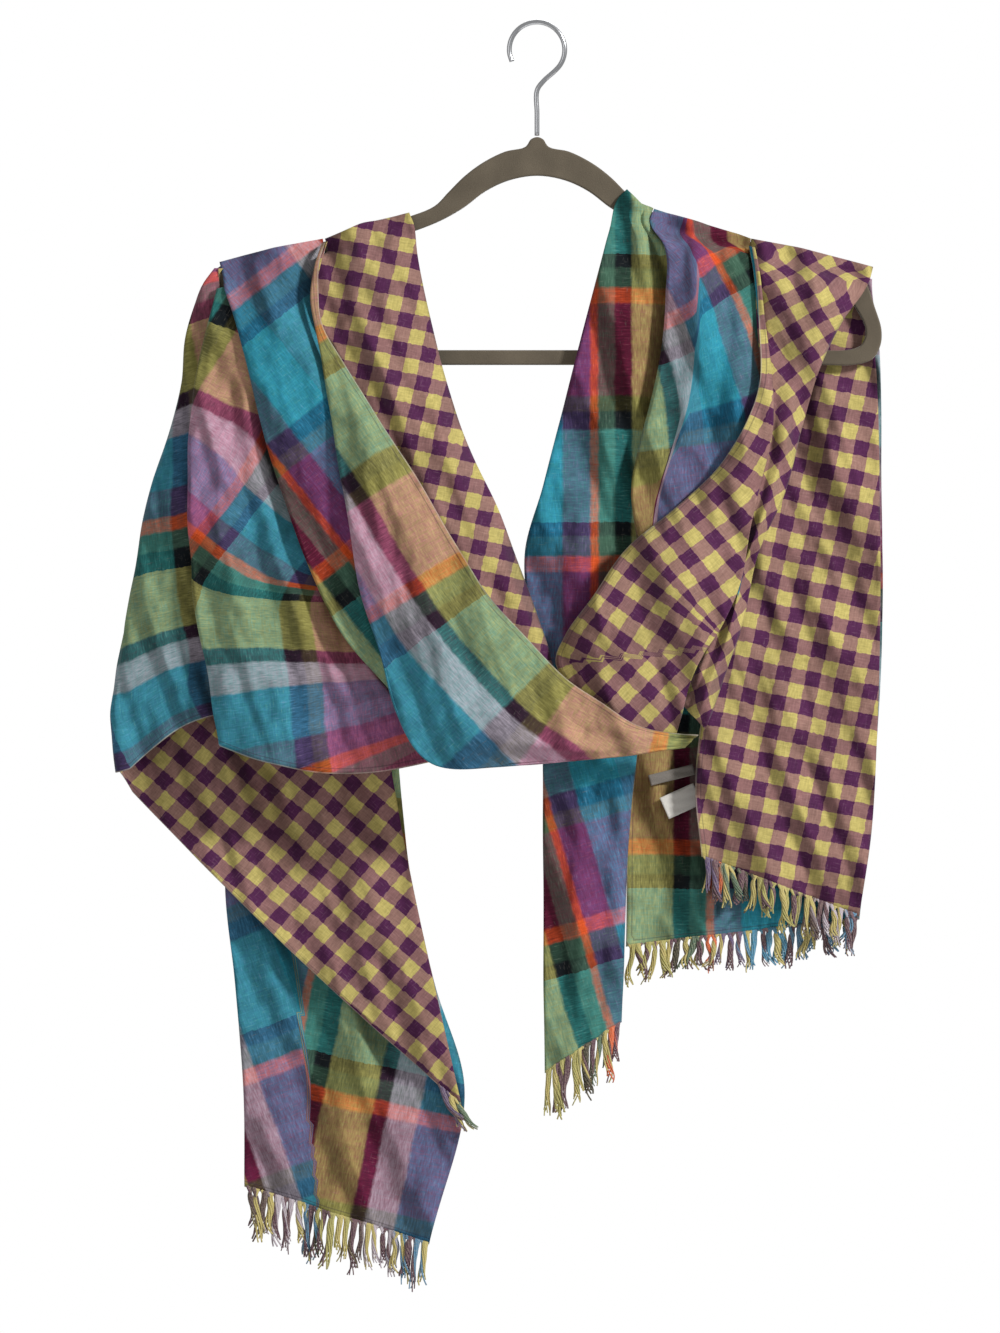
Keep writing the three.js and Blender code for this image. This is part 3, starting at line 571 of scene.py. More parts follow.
def stretch(spec, seed, amount):
    """The fine grid of a stretch, and each column's place across."""
    rows = spec["rows"]
    width = np.mean([math.dist(r[0:3], r[3:6]) for r in rows])
    count = int(np.clip(width / ACROSS_MM, FEWEST_ACROSS, MOST_ACROSS))
    lip_a, lip_b = spec.get("lipA", 0), spec.get("lipB", 0)
    sections = [section(row, i, count, lip_a, lip_b) for i, row in enumerate(rows)]
    arch = over_arm(*spec["over"], count) if "over" in spec else []
    added = [section(row, 0, count, lip_a, lip_b) for row in spec.get("top", [])]
    if "lift" in spec:
        added = [sections[0] + np.array([0, LIFT_BACK, spec["lift"]])]
    grid, place = refine(list(arch) + added + sections, STEP_MM)
    place = np.maximum(place - len(added), 0)
    steps = spec.get("steps", 2)
    bends = max(len(arch) - 1, 0)
    source_row = np.where(place <= bends, place, bends + (place - bends) * steps)
    s = source_row / source_row[-1]
    columns = [np.linspace(0, SOURCE_LIP, LIP_POINTS, endpoint=False)] if lip_a else []
    first = SOURCE_LIP if lip_a else 0
    last = first + spec["count"] - 1
    columns.append(np.linspace(first, last, count))
    if lip_b:
        columns.append(np.linspace(last, last + SOURCE_LIP, LIP_POINTS + 1)[1:])
    t = np.concatenate(columns)
    t = t / t[-1]
    grid = crease(grid, s, t, spec.get("folds", []))
    return rumple(grid, s, seed, amount), t


def outer_section(row):
    """The points of one row of the outer fall: front, round turn, back."""
    fx, fz, fy, sx, sz, bx, bz, by, front_belly, back_belly, front_sag, back_sag = row
    turn = min(OUTER_ROUND, (by - fy) / 2)
    near_front = np.array([sx + turn, fy * 0.85, sz + (fz - sz) * 0.06])
    near_back = np.array([sx + turn, by * 0.85, sz + (bz - sz) * 0.06])

    def run(start, end, t, belly, sag):
        arc = np.sin(np.pi * t)
        points = start + (end - start) * t[:, None]
        points[:, 1] += belly * arc
        points[:, 2] -= sag * arc
        return points

    front_t = np.arange(OUTER_FRONT_FINE) / OUTER_FRONT_FINE
    back_t = np.arange(1, OUTER_BACK_FINE + 1) / OUTER_BACK_FINE
    front = run(np.array([fx, fy, fz]), near_front, front_t, -front_belly, front_sag)
    back = run(near_back, np.array([bx, by, bz]), back_t, back_belly, back_sag)
    knots = np.array([
        near_front, [sx + turn * 0.14, fy * 0.6, sz], [sx, 0, sz], [sx + turn * 0.14, by * 0.6, sz],
        near_back,
    ])
    ends = np.concatenate([front[-1:], knots, back[:1]])
    round_turn = []
    for k in range(1, OUTER_TURN + 1):
        p0, p1, p2, p3 = ends[k - 1:k + 3]
        for u in np.arange(OUTER_TURN_FINE) / OUTER_TURN_FINE:
            round_turn.append(
                0.5 * (2 * p1 + (p2 - p0) * u + (2 * p0 - 5 * p1 + 4 * p2 - p3) * u * u
                       + (3 * p1 - p0 - 3 * p2 + p3) * u ** 3)
            )
    round_turn.append(near_back)
    return np.concatenate([front, round_turn, back])


def outer_stretch(seed, amount):
    """The fine grid of the outer fall, and each column's place across."""
    grid, place = refine([outer_section(row) for row in LEFT_OUTER], STEP_MM)
    place = np.maximum(place - 1, 0)
    source_row = np.where(place <= OUTER_SINGLE, place, OUTER_SINGLE + (place - OUTER_SINGLE) * 2)
    s = source_row / source_row[-1]
    turned = OUTER_FRONT + OUTER_TURN
    t = np.concatenate([
        np.linspace(0, OUTER_FRONT, OUTER_FRONT_FINE, endpoint=False),
        np.linspace(OUTER_FRONT, turned, OUTER_TURN * OUTER_TURN_FINE + 1),
        np.linspace(turned, turned + OUTER_BACK, OUTER_BACK_FINE + 1)[1:],
    ])
    t = t / t[-1]
    grid = crease(grid, s, t, OUTER_FOLDS)
    return rumple(grid, s, seed, amount, free=0.2), t


# Materials

def linear(rgb):
    return [((c / 255 + 0.055) / 1.055) ** 2.4 if c > 10 else c / 255 / 12.92 for c in rgb] + [1.0]


YARN = {
    "cyan": (44, 142, 182), "violet": (92, 72, 122), "orange": (222, 92, 42),
    "grey_green": (76, 110, 92), "dark": (14, 16, 22), "yellow_green": (176, 170, 96),
    "plum": (60, 26, 52), "pale": (188, 177, 191), "slate": (66, 132, 172),
    "teal": (50, 138, 134), "night": (14, 24, 28), "olive": (80, 74, 34),
    "brick": (180, 92, 122), "purple": (122, 24, 62), "ember": (214, 78, 34), "moss": (52, 84, 66),
}
# Bands of the plaid: yarn and width
WARP = [
    ("cyan", 30), ("violet", 18), ("orange", 5), ("grey_green", 11), ("dark", 11),
    ("yellow_green", 33), ("plum", 10), ("pale", 20), ("slate", 40),
]
# Two copies of the weft. The purple in WEFT_DEEP_AND_SHADED is darker partly as the yarn's own colour and
# partly as painted shade, for the cloth that lies in shadow; WEFT_PALE_AND_LIT has the lighter brick in its
# place, for the cloth in light.
WEFT_DEEP_AND_SHADED = [
    ("teal", 60), ("night", 12), ("olive", 10), ("purple", 60), ("ember", 10), ("moss", 13),
    ("night", 9),
]
WEFT_PALE_AND_LIT = [("brick" if yarn == "purple" else yarn, width) for yarn, width in WEFT_DEEP_AND_SHADED]
WARP_WIDE = [
    ("yellow_green", 45), ("plum", 11), ("pale", 20), ("slate", 37), ("violet", 20),
    ("orange", 10), ("grey_green", 13), ("dark", 14),
]
BLUR_MM = 0.8
SQUARE = 9.6
CHECK_LIGHT, CHECK_DARK = (194, 179, 106), (83, 38, 76)
CHECK_MIXED = (152, 116, 106), (143, 104, 102)


class Graph:
    """Short calls that add shader nodes and join them."""

    def __init__(self, name):
        self.material = bpy.data.materials.new(name)
        self.material.use_nodes = True
        self.tree = self.material.node_tree
        self.bsdf = self.tree.nodes["Principled BSDF"]

    def put(self, socket, value):
        if isinstance(value, bpy.types.NodeSocket):
            self.tree.links.new(value, socket)
        else:
            socket.default_value = value

    def node(self, kind, inputs=(), **settings):
        node = self.tree.nodes.new(kind)
        for key, value in settings.items():
            setattr(node, key, value)
        for key, value in dict(inputs).items():
            self.put(node.inputs[key], value)
        return node

    def math(self, operation, a, b=0.0, c=0.0):
        return self.node("ShaderNodeMath", {0: a, 1: b, 2: c}, operation=operation).outputs[0]

    def times(self, a, b):
        return self.math("MULTIPLY", a, b)

    def fit(self, value, scale, start):
        return self.math("MULTIPLY_ADD", value, scale, start)

    def mix(self, fac, a, b, blend="MIX"):
        node = self.node("ShaderNodeMix", data_type="RGBA", blend_type=blend)
        self.put(node.inputs[0], fac)
        self.put(node.inputs[6], a)
        self.put(node.inputs[7], b)
        return node.outputs[2]

    def shade(self, colour, value):
        return self.mix(1.0, colour, self.vector(value, value, value), "MULTIPLY")

    def vector(self, x, y, z=0.0):
        return self.node("ShaderNodeCombineXYZ", {0: x, 1: y, 2: z}).outputs[0]

    def scaled(self, parts, scales, *more):
        """A vector of parts, each times its scale, and of more values as they are."""
        return self.vector(*[self.times(part, scale) for part, scale in zip(parts, scales)], *more)

    def split(self, vector):
        parts = self.node("ShaderNodeSeparateXYZ", {0: vector}).outputs
        return parts[0], parts[1], parts[2]

    def position(self):
        return self.node("ShaderNodeNewGeometry").outputs["Position"]

    def noise(self, vector, scale, detail=2.0, rough=0.5):
        inputs = {"Vector": vector, "Scale": scale, "Detail": detail, "Roughness": rough}
        return self.node("ShaderNodeTexNoise", inputs).outputs[0]

    def shine(self, roughness, **more):
        self.bsdf.inputs["Roughness"].default_value = roughness
        for key, value in more.items():
            self.bsdf.inputs[key.replace("_", " ")].default_value = value

    def finish(self, colour, height=None, strength=0.3, distance=0.0003, under=None):
        self.put(self.bsdf.inputs["Base Color"], colour)
        if height is not None:
            inputs = {"Height": height, "Strength": strength, "Distance": distance}
            bump = self.node("ShaderNodeBump", inputs)
            if under is not None:
                self.tree.links.new(under, bump.inputs["Normal"])
            self.tree.links.new(bump.outputs[0], self.bsdf.inputs["Normal"])
        return self.material


def stripes(g, place, bands):
    """The colour of a run of bands at a place in metres, over and over."""
    period = sum(width for _, width in bands)
    share = g.math("FRACT", g.math("DIVIDE", place, period * MM))
    node = g.node("ShaderNodeValToRGB", {"Fac": share})
    ramp = node.color_ramp
    spare = list(ramp.elements)
    at = 0
    for yarn, width in bands:
        for stop_mm in (at + BLUR_MM, at + width - BLUR_MM):
            stop = spare.pop(0) if spare else ramp.elements.new(stop_mm / period)
            stop.position = stop_mm / period
            stop.color = linear(YARN[yarn])
        at += width
    return node.outputs[0]


def cloth_place(g):
    return g.split(g.node("ShaderNodeAttribute", attribute_name="cloth").outputs["Vector"])


# Noise scales are waves to the metre, other sizes in the materials are metres.
THREAD_ACROSS, THREAD_ALONG = 950, 150
WANDER_NEAR, WANDER_SLOW = 0.0022, 0.004
FOLD_SCALES, FOLD_LEAN = (34, 10, 8), 0.35
DENT_SCALES, DENT_SHARE = (70, 30, 48), 0.14
FOLD_RELIEF = 0.042
STITCH_PLACE, STITCH_HALF, RIM_WIDE = 0.0036, 0.0004, 0.0008
UNDYED, STITCHED, RIM = (200, 190, 176), (60, 48, 60), (206, 194, 176)


def threads(g, u, v):
    """Streaks of thick and thin thread along the warp, along the weft, and the unevenness of both."""
    warp = g.noise(g.scaled((u, v), (THREAD_ACROSS, THREAD_ALONG), 3.0), 1.0, 3.0, 0.6)
    weft = g.noise(g.scaled((u, v), (THREAD_ALONG, THREAD_ACROSS), 7.0), 1.0, 3.0, 0.6)
    return warp, weft, g.noise(g.vector(u, v), 28.0, 3.0, 0.55)


def wander(g, place, along, seed):
    """A place in the cloth moved a little to and fro, so that no stripe has a ruled edge."""
    near = g.noise(g.scaled((place, along), (500, 260), seed), 1.0, 2.0)
    slow = g.noise(g.scaled((along,), (26,), seed), 1.0, 2.0)
    moved = g.fit(g.math("SUBTRACT", near, 0.5), WANDER_NEAR, place)
    return g.fit(g.math("SUBTRACT", slow, 0.5), WANDER_SLOW, moved)


def soft_folds(g):
    """Shallow folds and dents of limp cloth, drawn out along its fall."""
    x, y, z = g.split(g.position())
    long = g.noise(g.scaled((g.fit(z, FOLD_LEAN, x), y, z), FOLD_SCALES), 1.0, 1.0, 0.4)
    small = g.noise(g.scaled((x, y, z), DENT_SCALES), 1.0, 1.0)
    inputs = {"Height": g.fit(small, DENT_SHARE, long), "Strength": 1.0, "Distance": FOLD_RELIEF}
    return g.node("ShaderNodeBump", inputs).outputs[0]


def finish_cloth(g, colour, warp, weft, broad, hem):
    """Slubs, the sewn hem line and the weave's relief, the same for both faces."""
    light = g.fit(g.math("ADD", warp, weft), 0.75, 0.25)
    colour = g.shade(colour, g.times(light, g.fit(broad, 0.6, 0.7)))
    undyed = g.times(g.math("SUBTRACT", g.math("MAXIMUM", warp, weft), 0.6), 0.8)
    colour = g.mix(g.math("MAXIMUM", undyed, 0.0), colour, linear(UNDYED))
    near = g.math("COMPARE", hem, STITCH_PLACE, STITCH_HALF)
    colour = g.mix(g.times(near, 0.4), colour, linear(STITCHED))
    rim = g.math("LESS_THAN", hem, RIM_WIDE)
    colour = g.mix(g.times(rim, 0.4), colour, linear(RIM))
    height = g.math("ADD", g.times(g.math("ADD", warp, weft), 0.5), g.times(near, -0.8))
    g.shine(0.86, Sheen_Weight=0.1, Sheen_Roughness=0.45, Specular_IOR_Level=0.15)
    return g.finish(colour, height, 0.35, 0.0004, soft_folds(g))


def checked(g, u, v):
    """Whether a place lies in a light band of the warp, and of the weft."""
    shares = [g.math("FRACT", g.math("DIVIDE", way, 2 * SQUARE * MM)) for way in (u, v)]
    return [g.math("LESS_THAN", share, 0.5) for share in shares]


def plaid_material(name, along_u, along_v):
    g = Graph(name)
    u, v, hem = cloth_place(g)
    warp, weft, broad = threads(g, u, v)
    a = stripes(g, wander(g, u, v, 2.0), along_u)
    b = stripes(g, wander(g, v, u, 5.0), along_v)
    share = g.fit(g.math("SUBTRACT", weft, warp), 0.7, 0.5)
    behind = g.fit(g.math("ADD", *checked(g, u, v)), 0.09, 0.91)
    return finish_cloth(g, g.shade(g.mix(share, a, b), behind), warp, weft, broad, hem)


def gingham_material():
    g = Graph("gingham_face")
    u, v, hem = cloth_place(g)
    warp, weft, broad = threads(g, u, v)
    a, b = checked(g, wander(g, u, v, 2.0), wander(g, v, u, 5.0))
    mixed = g.mix(a, *[linear(rgb) for rgb in CHECK_MIXED])
    light = g.mix(g.times(a, b), mixed, linear(CHECK_LIGHT))
    neither = g.times(g.math("SUBTRACT", 1.0, a), g.math("SUBTRACT", 1.0, b))
    colour = g.mix(neither, light, linear(CHECK_DARK))
    return finish_cloth(g, colour, warp, weft, broad, hem)


def thread_material():
    g = Graph("fringe_threads")
    u, v, which = cloth_place(g)
    plaid = stripes(g, u, WARP)
    a, _ = checked(g, u, v)
    gingham = g.mix(a, linear(CHECK_DARK), linear(CHECK_LIGHT))
    colour = g.mix(g.math("GREATER_THAN", which, 0.5), plaid, gingham)
    twist = g.noise(g.position(), 900.0, 2.0)
    colour = g.mix(g.fit(twist, 0.5, -0.1), colour, linear((232, 218, 182)))
    g.shine(0.9, Sheen_Weight=0.2, Sheen_Roughness=0.5, Specular_IOR_Level=0.15)
    return g.finish(colour, twist, 0.5, 0.0004)


def velvet_material():
    g = Graph("velvet")
    position = g.position()
    pile = g.noise(position, 1500.0, 2.0, 0.6)
    brushed = g.noise(position, 45.0, 3.0)
    colour = g.mix(brushed, linear((92, 84, 72)), linear((130, 119, 102)))
    colour = g.mix(g.times(pile, 0.35), colour, linear((60, 54, 48)))
    g.shine(0.95, Sheen_Weight=0.7, Sheen_Roughness=0.35, Specular_IOR_Level=0.1)
    return g.finish(colour, pile, 0.5, 0.0005)


def steel_material():
    g = Graph("bright_wire")
    drawn = g.noise(g.position(), 700.0, 3.0)
    colour = g.mix(drawn, linear((196, 198, 202)), linear((228, 229, 231)))
    g.shine(0.22, Metallic=1.0)
    return g.finish(colour, drawn, 0.12, 0.0001)


def tape_material(name, rgb, dark):
    g = Graph(name)
    position = g.position()
    rib = g.noise(position, 1300.0, 2.0)
    soft = g.noise(position, 120.0, 2.0)
    colour = g.mix(rib, linear(rgb), linear(dark))
    colour = g.mix(g.times(soft, 0.2), colour, linear(dark))
    g.shine(0.8, Specular_IOR_Level=0.2)
    return g.finish(colour, rib, 0.35, 0.0002)


# plaid_face, with the deeper weft, carries painted shade for the shaded stretches; plaid_face_pale_and_lit
# and plaid_face_turned have the lit copy of the weft, without it.
PLAID = plaid_material("plaid_face", WARP, WEFT_DEEP_AND_SHADED)
PLAID_PALE_AND_LIT = plaid_material("plaid_face_pale_and_lit", WARP, WEFT_PALE_AND_LIT)
PLAID_TURNED = plaid_material("plaid_face_turned", WEFT_PALE_AND_LIT, WARP_WIDE)
CHECK = gingham_material()
THREAD = thread_material()

# Columns: distance down the left edge, lean of the bands there
OUTER_LEAN = [[0, 0.33], [330, 0.33]]
LEFT_FRONT_LEAN = [[0, 0.35], [90, 0.45], [130, 0.9], [195, 0.75], [215, 0.15], [300, 0.02]]
RIGHT_NECK_TAIL = dict(plane=True, turn=-16, u_sign=-1, u0=94.8, v0=97.5)
LEFT_UNDER_RIGHT = dict(plane=True, turn=12, u0=65.9, v_sign=-1, v0=162.5)

GINGHAM = dict(faces=(CHECK, PLAID), slot="gingham_cloth")

# name: table, seed and height of the waves, how the front lies in the flat cloth, what isn't as usual
PIECES = {
    "left_chest_pleat": (LEFT_CHEST, 11, 2.2, dict(plane=True, turn=-38, u_sign=-1, u0=-258, v0=126), {}),
    "left_front_pleat": (
        LEFT_FRONT, 12, 2.2, dict(anchor=0.17, u0=50, v0=-22.5, lean=LEFT_FRONT_LEAN),
        dict(faces=(PLAID_TURNED, CHECK), hems=("end",))),
    # The front swag lies in light: its plaid has the lit copy of the weft, without the painted shade.
    "front_swag": (
        FRONT_SWAG, 13, 1.9, dict(from_edge="b", u0=75, v0=84),
        dict(faces=(PLAID_PALE_AND_LIT, CHECK), hems=("b",))),
    "left_neck_stretch": (LEFT_NECK, 14, 1.6, dict(plane=True, turn=12), GINGHAM),
    "left_tail_under": (
        LEFT_UNDER, 16, 2.8, dict(
            plane=True, turn=-20, u0=10, v_sign=-1, v0=30.5,
            split=(0.996, 0.087, -209.8), beyond=LEFT_UNDER_RIGHT),
        dict(hems=("end",))),
    "right_neck_strand": (
        RIGHT_NECK, 17, 1.3,
        dict(plane=True, u0=13.5, v_sign=-1, v0=324, split=(0, -1, 448), beyond=RIGHT_NECK_TAIL), {}),
    "right_shoulder_roll": (
        RIGHT_ROLL, 18, 1.7, dict(anchor=0.45, turn=-25, u0=64, v0=97, tuck=(-8, 50)), {}),
    "right_cowl": (RIGHT_COWL, 19, 1.7, dict(from_edge="a"), dict(hems=("a",), **GINGHAM)),
    "right_shoulder_fall": (RIGHT_FALL, 20, 1.2, dict(anchor=0.5, turn=45), GINGHAM),
    "right_neck_back": (RIGHT_NECK_BACK, 21, 0.6, dict(anchor=0.5), dict(faces=(CHECK, PLAID))),
    "right_tail": (RIGHT_TAIL, 22, 1.7, dict(plane=True, turn=12), dict(hems=("a",), **GINGHAM)),
    "right_tail_under": (
        RIGHT_UNDER, 23, 1.9, dict(plane=True, u_sign=-1, u0=164, v0=134), dict(hems=("a", "end"))),
}
made = {}


def add_cloth(name, grid, t, front, back=None, faces=(PLAID, CHECK), slot="plaid_cloth", hems=()):
    """The shell of a stretch, with its faces in the order of the grid's normal."""
    front_place = lay(grid, t, front, hems)
    mesh = shell(name + "_cloth", grid, front_place, lay(grid, t, back or front, hems), faces)
    piece = add_piece(name + "_cloth", mesh, name)
    made[name] = dict(piece=piece, grid=grid, front=front_place)


for name, (spec, seed, amount, front, unusual) in PIECES.items():
    add_cloth(name, *stretch(spec, seed, amount), front, **unusual)
add_cloth(
    "left_outer_fall", *outer_stretch(15, 1.9), dict(plane=True, turn=40),
    back=dict(anchor=OUTER_SILHOUETTE, u_sign=-1, u0=91, v0=-42, lean=OUTER_LEAN),
    faces=(CHECK, PLAID_TURNED), hems=("end",),
)


# Fringe

def tube(path, radii, sides=6):
    """The vertices and faces of a strand along a path, with closed ends."""
    path = np.asarray(path, float)
    along = unit(np.gradient(path, axis=0))
    side = unit(np.cross(along, [0.0, 1.0, 0.0]))
    other = np.cross(along, side)
    turn = np.linspace(0, FULL_TURN, sides, endpoint=False)[None, :, None]
    ring = np.cos(turn) * side[:, None, :] + np.sin(turn) * other[:, None, :]
    verts = (path[:, None, :] + ring * np.asarray(radii)[:, None, None]).reshape(-1, 3)
    faces = []
    for k in range(len(path) - 1):
        for m in range(sides):
            a, b = k * sides + m, k * sides + (m + 1) % sides
            faces.append([b, b + sides, a + sides, a])
    faces.append(list(range(sides))[::-1])
    faces.append([(len(path) - 1) * sides + m for m in range(sides)])
    return verts, faces


# name: cloth, locks, length, places across where it starts and ends, seed, lean of its ends
FRINGES = {
    "fringe_left_tail": ("left_tail_under", 26, 41, 0.01, 0.99, 3, 0),
    "fringe_left_corner": ("left_outer_fall", 3, 27, 0.955, 0.998, 31, 13),
    "fringe_centre_tail": ("right_neck_strand", 12, 40, 0.02, 0.98, 57, 0),
    "fringe_right_tail": ("right_tail", 23, 31, 0.01, 0.99, 79, 0),
    "fringe_right_under": ("right_tail_under", 30, 29, 0.01, 0.99, 101, 0),
}
STRANDS = 7
LOCK_POINTS = 20
# A strand's start inside the hem, its distance from its lock's line, its radius at the root and the end
ROOT_DEEP = 1.2
STRAND_OFF = 1.15
STRAND_R = (0.66, 0.36)
# Shares of a lock's length: where its strands have come together, and where they fray
GATHERED, FRAYED = 0.28, 0.45
# Added to the place of the strands with the gingham's colours
GINGHAM_YARN = 1000.0


def add_fringe(name, cloth, locks, long, lo, hi, seed, lean):
    """Locks of strands along the end of a stretch, some of them drawn together in twos and threes."""
    rng = np.random.default_rng(seed)
    grid, front = made[cloth]["grid"], made[cloth]["front"]
    hem = grid[-1]
    down = unit(grid[-1] - grid[-3])
    cols = len(hem) - 1

    def at(rows, t):
        place = np.clip(t, 0, 1) * cols
        j = min(int(place), cols - 1)
        return rows[j] + (rows[j + 1] - rows[j]) * (place - j)

    pitch = (hi - lo) / locks
    clumps = []
    while len(clumps) < locks:
        size = int(rng.integers(1, 4))
        clumps += [len(clumps) + (size - 1) / 2] * size
    verts, faces, places = [], [], []
    count = 0
    w = np.linspace(0, 1, LOCK_POINTS)
    gather = np.clip(1 - w / GATHERED, 0, 1) ** 1.3
    fray = np.clip((w - FRAYED) / (1 - FRAYED), 0, 1)
    for k in range(locks):
        t = lo + pitch * (k + 0.5 + 0.3 * (rng.random() - 0.5))
        root = at(hem, t)
        start = at(down, t)
        length = long * rng.uniform(0.66, 1.04)
        thick = rng.uniform(0.95, 1.5)
        pull = (at(hem, lo + pitch * (clumps[k] + 0.5)) - at(hem, lo + pitch * (k + 0.5)))[0]
        swing = np.array([lean + 0.8 * pull + rng.normal(0, 2.6), rng.uniform(-2.5, 2.5), 0])
        turns = rng.uniform(0.4, 1.3)
        phase = rng.uniform(0, FULL_TURN)
        sway = rng.uniform(0.6, 2.4)
        waves = rng.uniform(0.7, 1.5)
        axis = root + start * (w * length * 0.35)[:, None]
        axis[:, 2] -= length * 0.65 * w ** 1.15
        axis += swing * (w ** 2)[:, None]
        axis[:, 0] += sway * w * np.sin(FULL_TURN * waves * w + phase)
        for m in range(STRANDS):
            lateral = (m - (STRANDS - 1) / 2) / STRANDS * pitch * 1.05
            spread = at(hem, t + lateral) - root
            angle = phase + FULL_TURN * (m / STRANDS + turns * w)
            off = STRAND_OFF * thick * (1 - gather) * (1 + 1.5 * fray ** 2)
            path = axis + spread * gather[:, None]
            path = path + np.stack([np.cos(angle) * off, np.sin(angle) * off, np.zeros_like(w)], axis=1)
            path -= start * ROOT_DEEP
            path = path[:int(LOCK_POINTS * rng.uniform(0.82, 1.0))]
            radii = np.linspace(*STRAND_R, len(path)) * thick * rng.uniform(0.85, 1.15)
            strand, strand_faces = tube(path, radii)
            verts.append(strand)
            faces += [[count + q for q in face] for face in strand_faces]
            count += len(strand)
            u, v, _ = at(front[-1], t + lateral)
            places.append(np.tile([u, v, GINGHAM_YARN * ((k + (m < 2)) % 2)], (len(strand), 1)))
    mesh = smooth_mesh(name, np.concatenate(verts), faces, [THREAD])
    keep_place(mesh, np.concatenate(places))
    add_piece(name + "_threads", mesh, name)


for name, facts in FRINGES.items():
    add_fringe(name, *facts)


# Labels on the plaid layer of the right tail, blank

LABEL_T = 0.5
LABEL_CLEAR = 4.3
LABEL_ROWS, LABEL_COLUMNS = 9, 25


def depth_at(grid, x, z):
    flat = np.abs(grid[:, :, 0] - x) + np.abs(grid[:, :, 2] - z)
    return grid[np.unravel_index(np.argmin(flat), flat.shape)][1]


def add_label(name, centre, wide, high, turn_deg, bow, material):
    """A tape on the cloth, with bow the distance that its left edge stands off."""
    turn = math.radians(turn_deg)
    base = depth_at(made["right_tail_under"]["grid"], *centre)
    grid = np.zeros((LABEL_ROWS, LABEL_COLUMNS, 3))
    for row, v in zip(grid, np.linspace(0.5, -0.5, LABEL_ROWS) * high):
        for point, k in zip(row, np.linspace(0, 1, LABEL_COLUMNS)):
            u = (k - 0.5) * wide
            point[0] = centre[0] + u * math.cos(turn) - v * math.sin(turn)
            point[1] = base - LABEL_CLEAR - bow * (1 - k) ** 1.5 - 0.3 * math.sin(6 * k + v)
            point[2] = centre[1] + u * math.sin(turn) + v * math.cos(turn)
    no_place = np.zeros(grid.shape)
    mesh = shell(name + "_tape", grid, no_place, no_place, (material, material), LABEL_T)
    add_piece(name + "_tape", mesh, name)


TAPE = tape_material("woven_tape", (158, 152, 144), (120, 114, 108))
SATIN = tape_material("printed_tape", (236, 233, 226), (214, 210, 202))
add_label("label_woven", (88, -488), 30, 7, 14, 0.4, TAPE)
add_label("label_care", (94, -505), 24, 15, 24, 3, SATIN)


# Hanger

WIRE = steel_material()

# The hook's line: up the stem, then round its loop from one angle on by another
HOOK_WIRE_R = 1.6
HOOK_LOOP_R = 18
HOOK_LOOP_Z = -16.4
HOOK_FROM, HOOK_ROUND, HOOK_STEPS = -50, 255, 15
hook_line = [[0, 0, -72.2], [0, 0, -57.6], [0, 0, -43], [4.2, 0, -36.8]]
for k in range(HOOK_STEPS + 1):
    turn = math.radians(HOOK_FROM + HOOK_ROUND * k / HOOK_STEPS)
    hook_line.append([HOOK_LOOP_R * math.cos(turn), 0, HOOK_LOOP_Z + HOOK_LOOP_R * math.sin(turn)])


def between(q, start, p, end, r):
    """The point at q on the line that has p at start and r at end."""
    return (end - q) / (end - start) * p + (q - start) / (end - start) * r


def centripetal(points, per_span):
    """A centripetal Catmull-Rom curve through points."""
    points = [np.array(p, float) for p in points]
    points = [2 * points[0] - points[1]] + points + [2 * points[-1] - points[-2]]
    out = []
    for k in range(1, len(points) - 2):
        p0, p1, p2, p3 = points[k - 1:k + 3]
        steps = [np.linalg.norm(b - a) ** 0.5 for a, b in ((p0, p1), (p1, p2), (p2, p3))]
        t0, t1, t2, t3 = np.cumsum([0.0] + steps)
        for q in np.linspace(t1, t2, per_span, endpoint=False):
            middle = between(q, t1, p1, t2, p2)
            before = between(q, t0, between(q, t0, p0, t1, p1), t2, middle)
            after = between(q, t1, middle, t3, between(q, t2, p2, t3, p3))
            out.append(between(q, t1, before, t2, after))
    out.append(points[-2])
    return np.array(out)


def closed_outline(half, per_span=5):
    """A smooth closed line through half of an outline and its mirror image."""
    whole = half + [[-x, z] for x, z in half[:0:-1]]
    if whole[-1] == whole[0]:
        whole = whole[:-1]
    line = centripetal(whole[-2:] + whole + whole[:3], per_span)
    return line[2 * per_span:(2 + len(whole)) * per_span]


HANGER_THICK = 5.2
HANGER_BEVEL = 1.2
HANGER_CLEAR = 0.7
BAR_BELOW = [188, -222]
INNER_HALF = [
    [0, -99], [18, -102], [33, -109], [47, -119.5], [62, -128], [81, -135.5], [110, -144], [138, -152],
    [171, -160], [193, -169], [206, -184], [213, -199], [210, -208], [200, -211], [184, -211],
]
frame_curve = bpy.data.curves.new("hanger_body", "CURVE")
frame_curve.dimensions = "2D"
frame_curve.fill_mode = "BOTH"
frame_curve.extrude = (HANGER_THICK / 2 - HANGER_BEVEL) * MM
frame_curve.bevel_depth = HANGER_BEVEL * MM
frame_curve.bevel_resolution = 3
frame_curve.offset = -(HANGER_BEVEL + HANGER_CLEAR) * MM
for half in (OUTER_HALF + [BAR_BELOW], INNER_HALF):
    ring = closed_outline(half)
    spline = frame_curve.splines.new("POLY")
    spline.points.add(len(ring) - 1)
    for point, (x, z) in zip(spline.points, ring):
        point.co = (x * MM, z * MM, 0.0, 1.0)
    spline.use_cyclic_u = True
frame_curve.materials.append(velvet_material())
add_piece("hanger_body", frame_curve, "hanger_frame", turned=(math.pi / 2, 0, 0))

wire_path = centripetal(hook_line, 6)
wire = tube(wire_path, np.full(len(wire_path), HOOK_WIRE_R), sides=20)
add_piece("hook_wire", smooth_mesh("hook_wire", *wire, [WIRE]), "hanger_hook")

